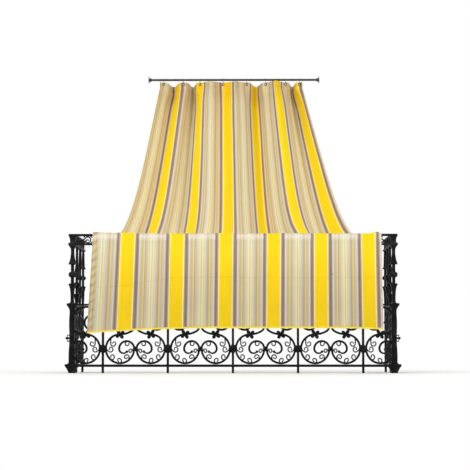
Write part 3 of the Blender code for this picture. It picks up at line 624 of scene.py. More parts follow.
def clothColumns():
    # distances across the cloth, closer together at its side hems
    places = eyeletPlaces()
    flat = cloth["flatAtEyelet"]
    edge = [0.0, 0.004, 0.009, 0.015, 0.021]
    columns = edge + [places[0] - flat]
    for first, second in zip(places, places[1:]):
        columns += [first - flat / 3, first + flat / 3]
        columns += list(np.linspace(first + flat, second - flat, cloth["columnsInSpan"] + 1))
    columns += [places[-1] - flat / 3, places[-1] + flat / 3, places[-1] + flat]
    columns += [cloth["width"] - at for at in reversed(edge)]
    return np.array(columns)


def clothRows(columns):
    # the sheet's middle surface before its small forms, and each point's cloth place
    length, depth, height = hangingCurve()
    slopeDepth = np.gradient(depth, length)
    slopeHeight = np.gradient(height, length)
    band = cloth["hemBand"]
    even = (length - length[0]) / (length[-1] - length[0])
    nearer = (depth[0] - depth) / (depth[0] - depth[-1])
    below = np.interp(np.linspace(0.0, 1.0, cloth["rowsBehind"] + 1), (even + nearer) / 2, length)
    points, places = [], []

    def lay(x, y, z, station):
        points.append(np.stack(np.broadcast_arrays(x, y, z), axis=-1))
        places.append(np.stack(np.broadcast_arrays(columns, station), axis=-1))

    for station in np.concatenate((np.linspace(0.0, band, 8)[:-1], below)):
        way = max((station - band) / (length[-1] - band), 0.0)
        along, x, forward = gatheredRow(way, station)
        x = np.interp(columns, along, x)
        forward = np.interp(columns, along, forward)
        if station < band:
            at, z, run = eyeletDepth, clothTop - station, (0.0, -1.0)
        else:
            at = np.interp(station, length, depth)
            z = np.interp(station, length, height)
            run = (np.interp(station, length, slopeDepth), np.interp(station, length, slopeHeight))
        size = math.hypot(*run)
        sag = hemOffset(columns) * (1.0 - smooth(station / cloth["hemFormFade"]))
        lay(x, railMiddle.y + at + forward * run[1] / size,
            z - forward * run[0] / size + sag, station)
    _, rail, hem = cloth["shift"]
    radius = cloth["railRound"] + cloth["aboveRail"]
    bendDepth = cloth["railRound"] - railWidth / 2
    bendHeight = railHigh.z - cloth["railRound"]
    x = railPlaces(columns)
    start = length[-1]
    flatRun = depth[-1] - bendDepth
    for share in np.linspace(0.0, 1.0, 4)[1:-1]:
        lay(x, railMiddle.y + depth[-1] - flatRun * share, bendHeight + radius,
            start + flatRun * share)
    for angle in np.linspace(0.0, math.pi / 2, cloth["rowsOver"]):
        lay(x, railMiddle.y + bendDepth - radius * math.sin(angle),
            bendHeight + radius * math.cos(angle), start + flatRun + radius * angle)
    start += flatRun + radius * math.pi / 2
    drop = dropLength(columns)
    waveHeight, waves = cloth["dropWave"]
    wave = 0.5 - 0.5 * np.cos(2 * math.pi * waves * columns / cloth["width"])
    left, right = cloth["hemFlare"]
    side = 2.0 * columns / cloth["width"] - 1.0
    flare = hem - rail + np.where(side > 0.0, right, -left) * side ** 2
    for share in np.linspace(0.0, 1.0, cloth["rowsInDrop"] + 1)[1:]:
        lay(x + flare * share, railMiddle.y + bendDepth - radius - waveHeight * wave * share,
            bendHeight - drop * share, start + drop * share)
    return np.array(points), np.array(places), length[-1], start


def surfaceNormals(points):
    across = np.gradient(points, axis=1)
    down = np.gradient(points, axis=0)
    normal = np.cross(down, across)
    return normal / np.linalg.norm(normal, axis=-1, keepdims=True)


def wrinkles(places, railStart, dropStart):
    # height of the small forms of the cloth, outwards from its middle surface
    u = places[..., 0]
    v = places[..., 1]
    broad = np.zeros_like(u)
    fine = np.zeros_like(u)
    broadAcross, broadDown, broadHeight = cloth["broadWrinkle"]
    fineAcross, fineDown, fineHeight = cloth["fineWrinkle"]
    for at in np.ndindex(u.shape):
        broad[at] = noise.noise(Vector((u[at] * broadAcross, v[at] * broadDown, 0.3)))
        fine[at] = noise.noise(Vector((u[at] * fineAcross, v[at] * fineDown, 7.1)))
    offRail = np.abs(v - (railStart + dropStart) / 2) - (dropStart - railStart) / 2
    free = smooth((offRail - 0.004) / 0.06)
    near = np.abs(u[..., None] - eyeletPlaces()).min(axis=-1)
    free *= 1.0 - np.exp(-(near / 0.02) ** 2 - ((v - cloth["eyeletMargin"]) / 0.02) ** 2)
    inDrop = smooth((v - dropStart) / 0.15)
    height = free * (broad * (broadHeight + cloth["dropWrinkle"] * inDrop) + fineHeight * fine)
    # puckered side hems
    size, pitch, reach = cloth["pucker"]
    edge = np.minimum(u, cloth["width"] - u)
    wander = broad * 2.2
    slanted = v + cloth["puckerSlant"] * edge
    height += free * (0.12 + 0.88 * inDrop) * size * np.exp(-(edge / reach) ** 2) * np.sin(
        2 * math.pi * slanted / pitch + wander)
    # the crease left by packing
    crease = dropStart + railHigh.z - cloth["creaseHeight"]
    ridge, ridgeHalf = cloth["creaseRidge"]
    valley, valleyHalf = cloth["creaseValley"]
    height += ridge * np.exp(-((v - crease) / ridgeHalf) ** 2)
    height -= valley * np.exp(-((v - crease) / valleyHalf) ** 2)
    return height


def bulges(places, railStart, dropStart):
    # how far the cloth stands off the rail and the top of the drop
    u = places[..., 0]
    v = places[..., 1]
    behind, below = cloth["bulgeReach"]
    reach = np.where(v < dropStart, behind, below)
    middle = np.clip(v, railStart, dropStart)
    fade = np.exp(-((v - middle) / reach) ** 2)
    height = np.zeros_like(u)
    for place, half, size in cloth["bulges"]:
        height += size * np.exp(-((u - place) / half) ** 2)
    return height * fade


def clothSurface():
    columns = clothColumns()
    points, places, railStart, dropStart = clothRows(columns)
    normal = surfaceNormals(points)
    height = wrinkles(places, railStart, dropStart) + bulges(places, railStart, dropStart)
    points = points + normal * height[..., None]
    return points, places, surfaceNormals(points), dropStart


def makeCloth(surface, finish):
    points, places, _, _ = surface
    sheet = loosePiece("cloth_sheet", gridMesh("cloth_sheet", points, places))
    thicken(sheet, cloth["thickness"])
    hole, deep = cloth["hole"]
    holes = []
    for middle in eyeletMiddles:
        disc = turnedMesh("hole", [(0.0, -deep), (hole, -deep), (hole, deep), (0.0, deep)], 32)
        disc.transform(Matrix.Translation(middle) @ turned(90, "X"))
        holes.append(disc)
    mesh = cutMesh(sheet, joinedMesh("holes", holes))
    mesh.shade_smooth()
    mesh.set_sharp_from_angle(angle=math.radians(50))
    piece = addPiece("awningCloth", mesh, finish, ["awning_cloth"])


# Cloth: stripes and weave

stripes = {
    "repeat": 0.3335,
    "start": 0.2789,        # phase of the left edge; 0 is the middle of a yellow stripe
    "paleTone": (0.925, 0.955, 1.015),       # of every colour but the yellow
    "yellow": paint(255, 212, 13),
    "cream": paint(252, 222, 96),
    "butter": paint(255, 236, 178),
    "bark": paint(198, 170, 122),
    "moss": paint(162, 140, 110),
    "taupe": paint(146, 126, 108),
    "dusk": paint(160, 140, 130),
    "plum": paint(176, 154, 150),
    "blush": paint(224, 206, 192),
    "sand": paint(206, 190, 146),
    "straw": paint(222, 202, 148),
    "clay": paint(196, 176, 140),
    "tan": paint(216, 192, 142),
    "oat": paint(218, 200, 154),
    "mist": paint(214, 210, 196),
    "milk": paint(236, 226, 188),
    "lemon": paint(248, 214, 106),
    "cloud": paint(216, 209, 198),
    "linen": paint(222, 208, 180),
    "ash": paint(204, 188, 152),
    "stone": paint(190, 170, 156),
    # painted shade of the side hems' puckers
    "puckerShade": paint(132, 100, 74),
    # painted highlight on the pale stripes just below the fold over the rail
    "foldHighlight": paint(250, 236, 228),
}
# where each colour starts in the repeat
stripeOrder = (
    (0.000, "yellow"), (0.117, "cream"), (0.128, "butter"), (0.150, "bark"), (0.167, "moss"),
    (0.182, "taupe"), (0.204, "dusk"), (0.218, "plum"), (0.232, "blush"), (0.264, "oat"),
    (0.280, "sand"), (0.318, "straw"), (0.338, "linen"), (0.350, "clay"), (0.368, "tan"),
    (0.395, "oat"), (0.412, "linen"), (0.424, "mist"), (0.456, "milk"), (0.485, "lemon"),
    (0.513, "milk"), (0.535, "cloud"), (0.565, "linen"), (0.582, "oat"), (0.600, "tan"),
    (0.617, "clay"), (0.650, "oat"), (0.668, "straw"), (0.687, "ash"), (0.702, "sand"),
    (0.714, "linen"), (0.724, "ash"), (0.734, "blush"), (0.764, "stone"), (0.778, "dusk"),
    (0.792, "taupe"), (0.812, "moss"), (0.824, "bark"), (0.846, "butter"), (0.865, "cream"),
    (0.874, "yellow"))


def stripeStops(low, high):
    # the ramp for one half of the repeat
    inside = [(at, name) for at, name in stripeOrder if low <= at < high]
    before = [name for at, name in stripeOrder if at <= low][-1]
    if inside[0][0] > low:
        inside.insert(0, (low, before))
    tones = {name: stripes[name] if name == "yellow" else tuple(
        part * share for part, share in zip(stripes[name], stripes["paleTone"]))
        for _, name in inside}
    return [((at - low) / (high - low), tones[name]) for at, name in inside]


def clothFinish(dropStart, length):
    finish = Finish(
        "striped_cloth", roughness=0.86, Specular_IOR_Level=0.25, Sheen_Weight=0.05,
        Sheen_Roughness=0.6, Subsurface_Weight=0.6, Subsurface_Scale=0.004,
        Subsurface_Radius=(1.0, 0.9, 0.7))
    place = finish.add("UVMap", {"uv_map": "cloth"}, {})
    across = place.part(0)
    along = place.part(1)
    wander = finish.noise(finish.stretched(place, (8.0, 2.0, 1.0)), 1.0, 3.0) - 0.5
    phase = ((across + wander * 0.0012) / stripes["repeat"] + stripes["start"]).fraction()
    left = finish.ramp(phase * 2.0, stripeStops(0.0, 0.5), "CONSTANT")
    right = finish.ramp(phase * 2.0 - 1.0, stripeStops(0.5, 1.0), "CONSTANT")
    colour = finish.mix(phase > 0.5, left, right)
    # uneven yarns: long streaks down the warp, short ones across the weft, and broad fading
    warp = finish.noise(finish.stretched(place, (420.0, 4.0, 1.0)), 1.0, 2.0) - 0.5
    weft = finish.noise(finish.stretched(place, (9.0, 520.0, 1.0)), 1.0, 2.0) - 0.5
    broad = finish.noise(finish.stretched(place, (5.0, 2.6, 1.0)), 1.0, 3.0) - 0.5
    tone = 1.0 + warp * 0.16 + weft * 0.10 + broad * 0.07
    # painted highlight: pale stripes turn paler just below where the cloth turns down over the rail
    pale = 1.0 - (phase - 0.5).size().eased(0.262, 0.300)
    turned = along.eased(dropStart - 0.004, dropStart + 0.006) * (
        1.0 - along.eased(dropStart + 0.012, dropStart + 0.048))
    colour = finish.mix(turned * pale * 0.40, colour, stripes["foldHighlight"])
    # painted shade: darker and browner at the top; painted light: brightest just below the fold over the
    # rail, then darker down the drop
    stops = [(place / length, (share / 1.1, share * (1.1 - shadeBrown) / 1.21,
                               share * (1.1 - 2.2 * shadeBrown) / 1.21))
             for place, share, shadeBrown in (
        (0.0, 0.87, 0.06), (0.09, 0.88, 0.06), (0.17, 0.95, 0.02), (0.42, 1.0, 0.0),
        (dropStart - 0.03, 1.01, 0.0), (dropStart + 0.02, 1.07, 0.0), (dropStart + 0.10, 0.99, 0.0),
        (dropStart + 0.20, 0.92, 0.0), (dropStart + 0.31, 0.85, 0.0), (dropStart + 0.42, 0.815, 0.0),
        (length, 0.815, 0.0))]
    colour = finish.mix(1.0, colour, finish.ramp(along / length, stops), "MULTIPLY")
    # painted shade of the puckers, as dark marks where the side hems are drawn together
    edge = cloth["width"] / 2 - (across - cloth["width"] / 2).size()
    uneven = finish.noise(finish.stretched(place, (30.0, 14.0, 1.0)), 1.0, 2.0)
    share = ((along + edge * cloth["puckerSlant"]) / cloth["pucker"][1]
             + uneven * 0.45 + wander * 0.9).fraction()
    puckerShade = share.eased(0.42, 0.84) * (1.0 - share.eased(0.86, 1.0)) * (
        1.0 - edge.eased(0.020, 0.052))
    hemmed = (across < cloth["width"] / 2) * along.eased(dropStart - 0.25, dropStart + 0.05)
    colour = finish.mix(puckerShade * hemmed * uneven * 0.85, colour, stripes["puckerShade"])
    seam = (edge - stitch["sideFrom"]).size()
    tone = tone * (1.0 - (1.0 - seam.eased(0.0005, 0.0030)) * 0.09) * 1.1
    # painted shade: a darker line along the packing crease, lower at the left
    line = dropStart + railHigh.z - cloth["creaseHeight"] + (
        1.0 - across.eased(0.10, 0.60)) * cloth["creaseSag"] + broad * 0.02
    crease = 1.0 - (along - line).size().eased(0.0012, 0.0075)
    tone = tone * (1.0 - crease * uneven.eased(0.35, 0.65) * 0.10)
    # faint threads of other colours, which show in the pale stripes
    tint = finish.noise(finish.stretched(place, (95.0, 0.7, 1.0)), 1.0, 1.0) - 0.5
    other = finish.noise(finish.stretched(place, (70.0, 0.9, 3.0)), 1.0, 1.0) - 0.5
    colour = finish.mix(1.0, colour, finish.vector(
        tone * (1.0 + tint * 0.10), tone * (1.0 + other * 0.10 - tint * 0.06),
        tone * (1.0 + tint * 0.30)), "MULTIPLY")
    finish.put("Base Color", colour)
    pitch = 2 * math.pi / 0.0014
    weave = (across * pitch).sine() * (along * pitch).sine()
    finish.put("Roughness", 0.86 + warp * 0.10)
    finish.bump(weave * 0.6 + warp + weft * 0.6, 0.35, 0.0004)
    return finish


# Binding and stitching

binding = {
    "height": 0.011,
    "standOff": 0.0008,
    "thickness": 0.0005,
    "colour": paint(248, 226, 62),
    "shade": paint(232, 200, 40),
}

stitch = {
    "length": 0.0046,
    "gap": 0.0024,
    "radius": 0.00045,
    "sunk": 0.00015,
    "sideFrom": 0.021,
    "topFrom": 0.044,
    "bottomFrom": 0.0095,
    "colour": paint(226, 206, 158),
}


def onCloth(surface, u, v):
    # point and normal of the cloth's middle surface at a cloth place
    points, places, normal, _ = surface
    columns = places[0, :, 0]
    column = int(np.clip(np.searchsorted(columns, u) - 1, 0, len(columns) - 2))
    across = (u - columns[column]) / (columns[column + 1] - columns[column])
    rows = places[:, column, 1] * (1 - across) + places[:, column + 1, 1] * across
    row = int(np.clip(np.searchsorted(rows, v) - 1, 0, len(rows) - 2))
    down = float(np.clip((v - rows[row]) / (rows[row + 1] - rows[row]), 0.0, 1.0))

    def blended(values):
        upper = values[row, column] * (1 - across) + values[row, column + 1] * across
        lower = values[row + 1, column] * (1 - across) + values[row + 1, column + 1] * across
        return upper * (1 - down) + lower * down

    return blended(points), blended(normal), rows[-1]


def makeBinding(surface, finish):
    # a tape folded round the bottom edge, following the cloth's own last rows
    out = cloth["thickness"] / 2 + binding["standOff"] - binding["thickness"]
    fine = np.linspace(0.0, cloth["width"], 300)
    profile = [(binding["height"], out), (binding["height"] / 2, out * 1.05), (0.0, out)]
    for angle in (30, 60, 90, 120, 150):
        profile.append((-out * math.sin(math.radians(angle)), out * math.cos(math.radians(angle))))
    profile += [(0.0, -out), (binding["height"] / 2, -out * 1.05), (binding["height"], -out)]
    rows = []
    for up, side in profile:
        row = []
        for u in fine:
            bottom, facing, last = onCloth(surface, u, 1e3)
            if up > 0:
                bottom, facing, _ = onCloth(surface, u, last - up)
                step = 0.0
            else:
                step = -up
            ripple = 1.0 + 0.12 * math.sin(u * 410) + 0.10 * math.sin(u * 1130)
            row.append(bottom + facing * side * ripple - np.array((0.0, 0.0, step)))
        rows.append(row)
    rows = np.array(rows)
    uv = np.stack(np.meshgrid(fine, np.linspace(0.0, 0.03, len(profile))), axis=-1)
    tape = loosePiece("tape", gridMesh("tape", rows, uv))
    thicken(tape, binding["thickness"])
    mesh = solidMesh(tape)
    mesh.shade_smooth()
    return addPiece("bottomBinding", mesh, finish, ["bottom_binding"])


def bindingFinish():
    finish = Finish("binding_tape", roughness=0.8, Sheen_Weight=0.1)
    place = finish.add("UVMap", {"uv_map": "cloth"}, {})
    ribs = (place.part(0) * (2 * math.pi / 0.0018)).sine()
    patches = finish.noise(finish.stretched(place, (30.0, 60.0, 1.0)), 1.0, 2.0)
    finish.put("Base Color", finish.mix(patches, binding["shade"], binding["colour"]))
    finish.bump(ribs, 0.3, 0.0003)
    return finish


def stitchMesh(first, last, facing):
    # one thread between two points, arched a little and round in section
    run = last - first
    length = np.linalg.norm(run)
    run = run / length
    side = np.cross(run, facing)
    rings = []
    for share, swell in ((0.0, 0.35), (0.15, 0.9), (0.5, 1.0), (0.85, 0.9), (1.0, 0.35)):
        middle = first + run * length * share + facing * stitch["radius"] * (swell - 0.6)
        rings.append([
            middle + stitch["radius"] * swell * (side * math.cos(a) + facing * math.sin(a))
            for a in np.linspace(0.0, 2 * math.pi, 5, endpoint=False)])
    return np.array(rings)


def makeStitching(surface, finish):
    verts, faces = [], []

    def sew(places, standOff):
        for (u0, v0), (u1, v1) in places:
            firstPoint, facing, _ = onCloth(surface, u0, v0)
            lastPoint, facingLast, _ = onCloth(surface, u1, v1)
            for side in (1, -1):
                out = side * (cloth["thickness"] / 2 + standOff - stitch["sunk"])
                rings = stitchMesh(
                    firstPoint + facing * out, lastPoint + facingLast * out, facing * side)
                base = len(verts)
                verts.extend(rings.reshape(-1, 3).tolist())
                for ring in range(len(rings) - 1):
                    for k in range(5):
                        a = base + ring * 5 + k
                        b = base + ring * 5 + (k + 1) % 5
                        faces.append((a, b, b + 5, a + 5))
                faces.append(tuple(base + k for k in reversed(range(5))))
                faces.append(tuple(base + 20 + k for k in range(5)))

    pitch = stitch["length"] + stitch["gap"]
    width = cloth["width"]
    across = np.arange(0.006, width - 0.006, pitch)
    sew([((u, stitch["topFrom"]), (u + stitch["length"], stitch["topFrom"])) for u in across], 0.0)
    for u in (stitch["sideFrom"], width - stitch["sideFrom"]):
        last = onCloth(surface, u, 1e3)[2]
        sew([((u, v), (u, v + stitch["length"]))
             for v in np.arange(0.006, last - 0.020, pitch)], 0.0)
    bottom = []
    for u in across:
        last = onCloth(surface, u, 1e3)[2] - stitch["bottomFrom"]
        bottom.append(((u, last), (u + stitch["length"], last)))
    sew(bottom, binding["standOff"])
    mesh = bpy.data.meshes.new("stitching")
    mesh.from_pydata(verts, [], faces)
    mesh.shade_smooth()
    print("stitching made,", len(faces), "faces")
    return addPiece("stitching", mesh, finish)


def threadFinish():
    finish = Finish("thread", roughness=0.7)
    fibres = finish.noise(finish.objectPlace(), 900.0, 2.0)
    finish.put("Base Color", finish.mix(
        fibres, stitch["colour"], tuple(0.8 * share for share in stitch["colour"])))
    return finish


# Eyelets, hooks, rod and sockets

hardware = {
    "eyeletHole": 0.0040,
    "eyeletFlange": 0.0106,
    "eyeletCrown": 0.0013,
    "hookWire": 0.00175,
    "hookShank": 0.0245,
    "hookLowerLoop": 0.0070,
    "hookPlay": 0.0008,
    "hookTurns": (5, -7, 3, 8, -4, 6, -8, 4),   # degrees that each hook has swung round
    "socketFlange": 0.026,
    "socketFlangeThick": 0.004,
    "socketCup": 0.0128,
    "screwCircle": 0.019,
    "screwHead": 0.0042,
}

hookUpperLoop = rodRadius + hardware["hookWire"] + hardware["hookPlay"]


def metalFinish(name, bright, dark, roughness, grain):
    # bare or plated metal with a mottled tone and fine scratches
    finish = Finish(name, roughness=roughness, metallic=1.0)
    place = finish.objectPlace()
    patches = finish.noise(place, grain, 4.0)
    scratches = finish.noise(finish.stretched(place, (60.0, 900.0, 900.0)), 1.0, 2.0)
    finish.put("Base Color", finish.mix(patches.eased(0.3, 0.7), dark, bright))
    finish.put("Roughness", roughness + (patches - 0.5) * 0.25 + (scratches - 0.5) * 0.1)
    finish.bump(scratches + patches, 0.2, 0.0002)
    return finish


def eyeletFinish():
    # brass, with painted shade darkening it towards the hole
    finish = metalFinish("eyelet_metal", paint(158, 134, 92), paint(112, 92, 62), 0.46, 260.0)
    flat = finish.stretched(finish.objectPlace(), (1.0, 0.0, 1.0))
    radius = finish.add("VectorMath", {"operation": "LENGTH"}, {0: flat}, "Value")
    patches = finish.noise(finish.objectPlace(), 300.0, 3.0)
    colour = finish.mix(patches, paint(112, 92, 62), paint(160, 136, 94))
    # painted shade: near black in a ring round the hole
    finish.put("Base Color", finish.mix(
        radius.eased(0.0066, 0.0088), paint(34, 28, 22), colour))
    return finish


def makeEyelets(finish):
    hole = hardware["eyeletHole"]
    flange = hardware["eyeletFlange"]
    crown = hardware["eyeletCrown"]
    face = cloth["thickness"] / 2
    outer = [
        (hole + 0.0002, 0.0), (hole + 0.0001, face + crown * 0.5), (hole + 0.0006, face + crown * 0.9),
        (hole + 0.0017, face + crown), (flange - 0.0022, face + crown * 0.75),
        (flange - 0.0006, face + crown * 0.35), (flange, face + 0.0001),
        (flange - 0.0008, face), (hole + 0.0018, face), (hole + 0.0014, 0.0)]
    mesh = turnedMesh("eyelet", outer + [(r, -z) for r, z in reversed(outer[1:-1])], 40, closed=True)
    mesh.transform(turned(90, "X"))
    made = []
    for name, middle in zip(eyeletNames, eyeletMiddles):
        made.append(addPiece(
            name.replace("eyelet_", "eyelet"), mesh.copy(), finish, [name],
            middle))
    return made


def hookPath():
    # the middle of a hook's wire, over the rod and through the eyelet
    upper = hookUpperLoop
    lower = hardware["hookLowerLoop"]
    path = []
    for angle in np.radians(np.linspace(-100, 90, 25)):
        path.append((0.0, -upper * math.sin(angle), upper * math.cos(angle)))
    for angle in np.radians(np.linspace(180, 375, 25)):
        path.append((
            0.0, lower - upper + lower * math.cos(angle),
            -hardware["hookShank"] + lower * math.sin(angle)))
    return path


def makeHooks(finish):
    path = hookPath()
    for name, middle, turn in zip(hookNames, eyeletMiddles, hardware["hookTurns"]):
        curve = bpy.data.curves.new(name, "CURVE")
        curve.dimensions = "3D"
        curve.bevel_depth = hardware["hookWire"]
        curve.bevel_resolution = 4
        curve.use_fill_caps = True
        spline = curve.splines.new("POLY")
        spline.points.add(len(path) - 1)
        for point, place in zip(spline.points, path):
            point.co = (*place, 1.0)
            point.radius = 1.0
        spline.points[0].radius = 0.6
        spline.points[-1].radius = 0.6
        wire = loosePiece("wire", curve)
        mesh = solidMesh(wire)
        mesh.shade_smooth()
        # a hook swings about the line down from the rod through its eyelet
        pivot = Vector((0.0, hardware["hookLowerLoop"] - hookUpperLoop, 0.0))
        mesh.transform(
            Matrix.Translation(pivot) @ turned(turn, "Z") @ Matrix.Translation(-pivot))
        addPiece(
            name.replace("s_hook_", "sHook"), mesh, finish, [name],
            (middle.x, rodMiddle.y, rodMiddle.z))


def screwMesh(radius):
    # a domed screw head with a slot
    head = turnedMesh("screw", [
        (0.0, radius * 0.45), (radius * 0.45, radius * 0.42), (radius * 0.8, radius * 0.27),
        (radius, 0.0), (radius * 0.5, -radius * 0.4), (0.0, -radius * 0.4)], 28)
    groove = blockWork(
        (-1.1 * radius, -0.14 * radius, 0.17 * radius), (1.1 * radius, 0.14 * radius, 0.67 * radius))
    return cutMesh(loosePiece("screw_body", head), workMesh("groove", groove))


def makeSockets(finish, screwFinish):
    flange = hardware["socketFlange"]
    thick = hardware["socketFlangeThick"]
    cup = hardware["socketCup"]
    screw = screwMesh(hardware["screwHead"])
    for name, side in (("left", -1), ("right", 1)):
        low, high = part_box(f"rod_socket_{name}")
        deep = high.x - low.x
        bore = rodRadius + 0.0003
        body = turnedMesh("socket", [
            (0.0, 0.0), (flange - 0.0004, 0.0), (flange, 0.0006), (flange, thick - 0.0014),
            (flange - 0.0014, thick), (cup + 0.0022, thick), (cup + 0.0004, thick + 0.0016),
            (cup, thick + 0.003), (cup, deep - 0.001), (cup - 0.001, deep), (bore + 0.0006, deep),
            (bore, deep - 0.0006), (bore, deep - 0.0118), (0.0, deep - 0.0118)], 64)
        place = Vector((low.x if side < 0 else high.x, rodMiddle.y, rodMiddle.z))
        turn = turned(-90 * side, "Y")
        body.transform(turn)
        body.set_sharp_from_angle(angle=math.radians(45))
        title = name.capitalize()
        addPiece(f"rodSocket{title}", body, finish, [f"rod_socket_{name}"], place)
        heads = []
        for lift in (-1, 1):
            head = screw.copy()
            head.transform(turn @ Matrix.Translation(
                (0.0, lift * hardware["screwCircle"], thick + 0.0002)) @ turned(35 * lift, "Z"))
            heads.append(head)
        addPiece(f"socketScrews{title}", joinedMesh("socketScrews", heads, 40), screwFinish,
                 (), place)


# Railing: iron and its scrolls

iron = {
    "black": paint(8, 9, 11),
    "worn": paint(42, 44, 49),
    # grey for dust and a painted highlight on upward faces
    "dustAndHighlight": paint(92, 92, 92),
}


def ironFinish():
    finish = Finish("wrought_iron", roughness=0.5, Specular_IOR_Level=0.14)
    place = finish.objectPlace()
    patches = finish.noise(place, 18.0, 5.0)
    pits = finish.noise(place, 160.0, 4.0)
    # grey on upward faces: dust, and a painted highlight on the tops
    up = finish.add("NewGeometry", {}, {}, "Normal").part(2)
    upwardDustAndHighlight = up.eased(0.55, 0.95) * patches.eased(0.35, 0.65)
    colour = finish.mix(patches.eased(0.45, 0.75) * 0.6, iron["black"], iron["worn"])
    finish.put("Base Color", finish.mix(upwardDustAndHighlight * 0.35, colour, iron["dustAndHighlight"]))
    finish.put("Roughness", 0.40 + patches * 0.22 + upwardDustAndHighlight * 0.25)
    finish.bump(pits * 0.5 + patches, 0.35, 0.0012)
    return finish


scroll = {
    "bar": (0.0144, 0.014),
    "curlBar": (0.0085, 0.011),
    "ring": 0.0995,
    "sag": 0.0004,
    "cornerTurn": 36.5 / 2,
    # each curl in the ring: where it leaves it, its stem, and its radius
    "curls": ((121, 0.024, 0.0175), (170, 0.012, 0.0175), (225, 0.0, 0.0180),
              (266, 0.0, 0.0165), (299, 0.004, 0.0160), (337, 0.003, 0.0130)),
    "innerCurl": (72, 0.0140),      # the one in the volute: where it leaves, and its radius
    "innerHeading": 230,
    # flowers: radius, petals, depth, how sharp the petals are and how far in they start
    "curlKnob": (0.0052, 3, 0.0055, 0.3, 0.85),
    "endKnob": (0.0095, 4, 0.0085, 0.3, 0.85),
    "rosette": (0.035, 4, 0.012, 0.85, 0.34),
    "rosetteTurn": 54,
    "pairKnot": (0.0165, 5, 0.013, 0.3, 0.9),       # where the two rings of a pair are held
    "uprightKnot": (0.0305, 8, 0.0215, 0.5, 0.76),  # where two rings meet at an upright
    "tie": 0.018,
    "tieOver": 0.002,       # how far a tie stands out round the bars
    "halfGap": 0.00015,     # between the two scrolls of a pair
}
lowerVolute = ((0.031, -140), (0.053, -180), (scroll["ring"], -270))
upperVolute = (
    (0.160, 30), (0.040, 60), (0.034, None), (scroll["ring"], 180), (0.0595, 90),
    (0.050, 180), (0.030, 170))


def arcChain(start, heading, arcs):
    # points along straight runs (length, None) and arcs (radius, degrees)
    points = [start]
    for size, turn in arcs:
        if turn is None:
            points.append(polar(size, heading, points[-1]))
            continue
        side = math.copysign(90.0, turn)
        middle = polar(size, heading + side, points[-1])
        facet = 2 * math.degrees(math.acos(1.0 - scroll["sag"] / size))
        count = max(2, round(abs(turn) / facet))
        points += [polar(size, heading - side + turn * k / count, middle)
                   for k in range(1, count + 1)]
        heading += turn
    return points


def sweptBar(points, width, depth, taperStart=1.0, taperEnd=1.0, taperShare=0.2):
    # a flat bar with eased edges along points in the XZ plane, thinner towards its ends
    path = np.array(points)
    run = np.gradient(path, axis=0)
    run /= np.linalg.norm(run, axis=1, keepdims=True)
    side = np.stack((-run[:, 1], run[:, 0]), axis=1)
    steps = np.concatenate(([0.0], np.cumsum(np.linalg.norm(np.diff(path, axis=0), axis=1))))
    share = steps / steps[-1]
    size = np.interp(
        share, [0.0, taperShare, 1.0 - taperShare, 1.0], [taperStart, 1.0, 1.0, taperEnd])
    ease = min(width, depth) * 0.22
    half, deep = width / 2, depth / 2
    section = [
        (half, deep - ease), (half - ease, deep), (-half + ease, deep), (-half, deep - ease),
        (-half, -deep + ease), (-half + ease, -deep), (half - ease, -deep), (half, -deep + ease)]
    rings = np.array([
        [(x + nx * a * s, b * (0.6 + 0.4 * s), z + nz * a * s) for a, b in section]
        for (x, z), (nx, nz), s in zip(path, side, size)])
    work = workOn(gridMesh("bar", rings, closed=True))
    loops = [edge for edge in work.edges if edge.is_boundary]
    bmesh.ops.contextual_create(work, geom=[e for e in loops if e.verts[0].index < 8])
    bmesh.ops.contextual_create(work, geom=[e for e in loops if e.verts[0].index >= 8])
    bmesh.ops.recalc_face_normals(work, faces=work.faces)
    return workMesh("bar", work)


def bossMesh(radius, petals, depth, sharpness, hollow):
    # a flower of domed petals round a raised middle, the same on both faces
    angle = np.linspace(0.0, 2 * math.pi, petals * 12, endpoint=False)
    outline = radius * (hollow + (1.0 - hollow) * np.abs(np.cos(petals * angle / 2)) ** sharpness)
    rows = []
    for share, lift in ((0.0, 1.0), (0.16, 0.95), (0.28, 0.55), (0.45, 0.72), (0.7, 0.62),
                        (0.9, 0.35), (1.0, 0.0)):
        rows.append(np.stack((
            outline * share * np.cos(angle), 0 * angle - depth * lift,
            outline * share * np.sin(angle)), axis=-1))
    front = np.array(rows)
    back = front[::-1].copy()
    back[..., 1] *= -1
    return closedMesh("boss", np.concatenate((front, back[1:])))


def bossAt(x, z, shape, turn=0.0, axis="Y"):
    boss = bossMesh(*shape)
    boss.transform(Matrix.Translation((x, 0.0, z)) @ turned(turn, axis))
    return boss


def roundBlock(low, high, ease):
    # a block with eased edges
    work = blockWork(low, high)
    bmesh.ops.bevel(work, geom=work.edges[:], offset=ease, segments=2, affect="EDGES", profile=0.6)
    return workMesh("block", work)


def ironPiece(name, mesh, finish, nodes, x, y):
    addPiece(name, mesh, finish, nodes, (x, y, 0.0))


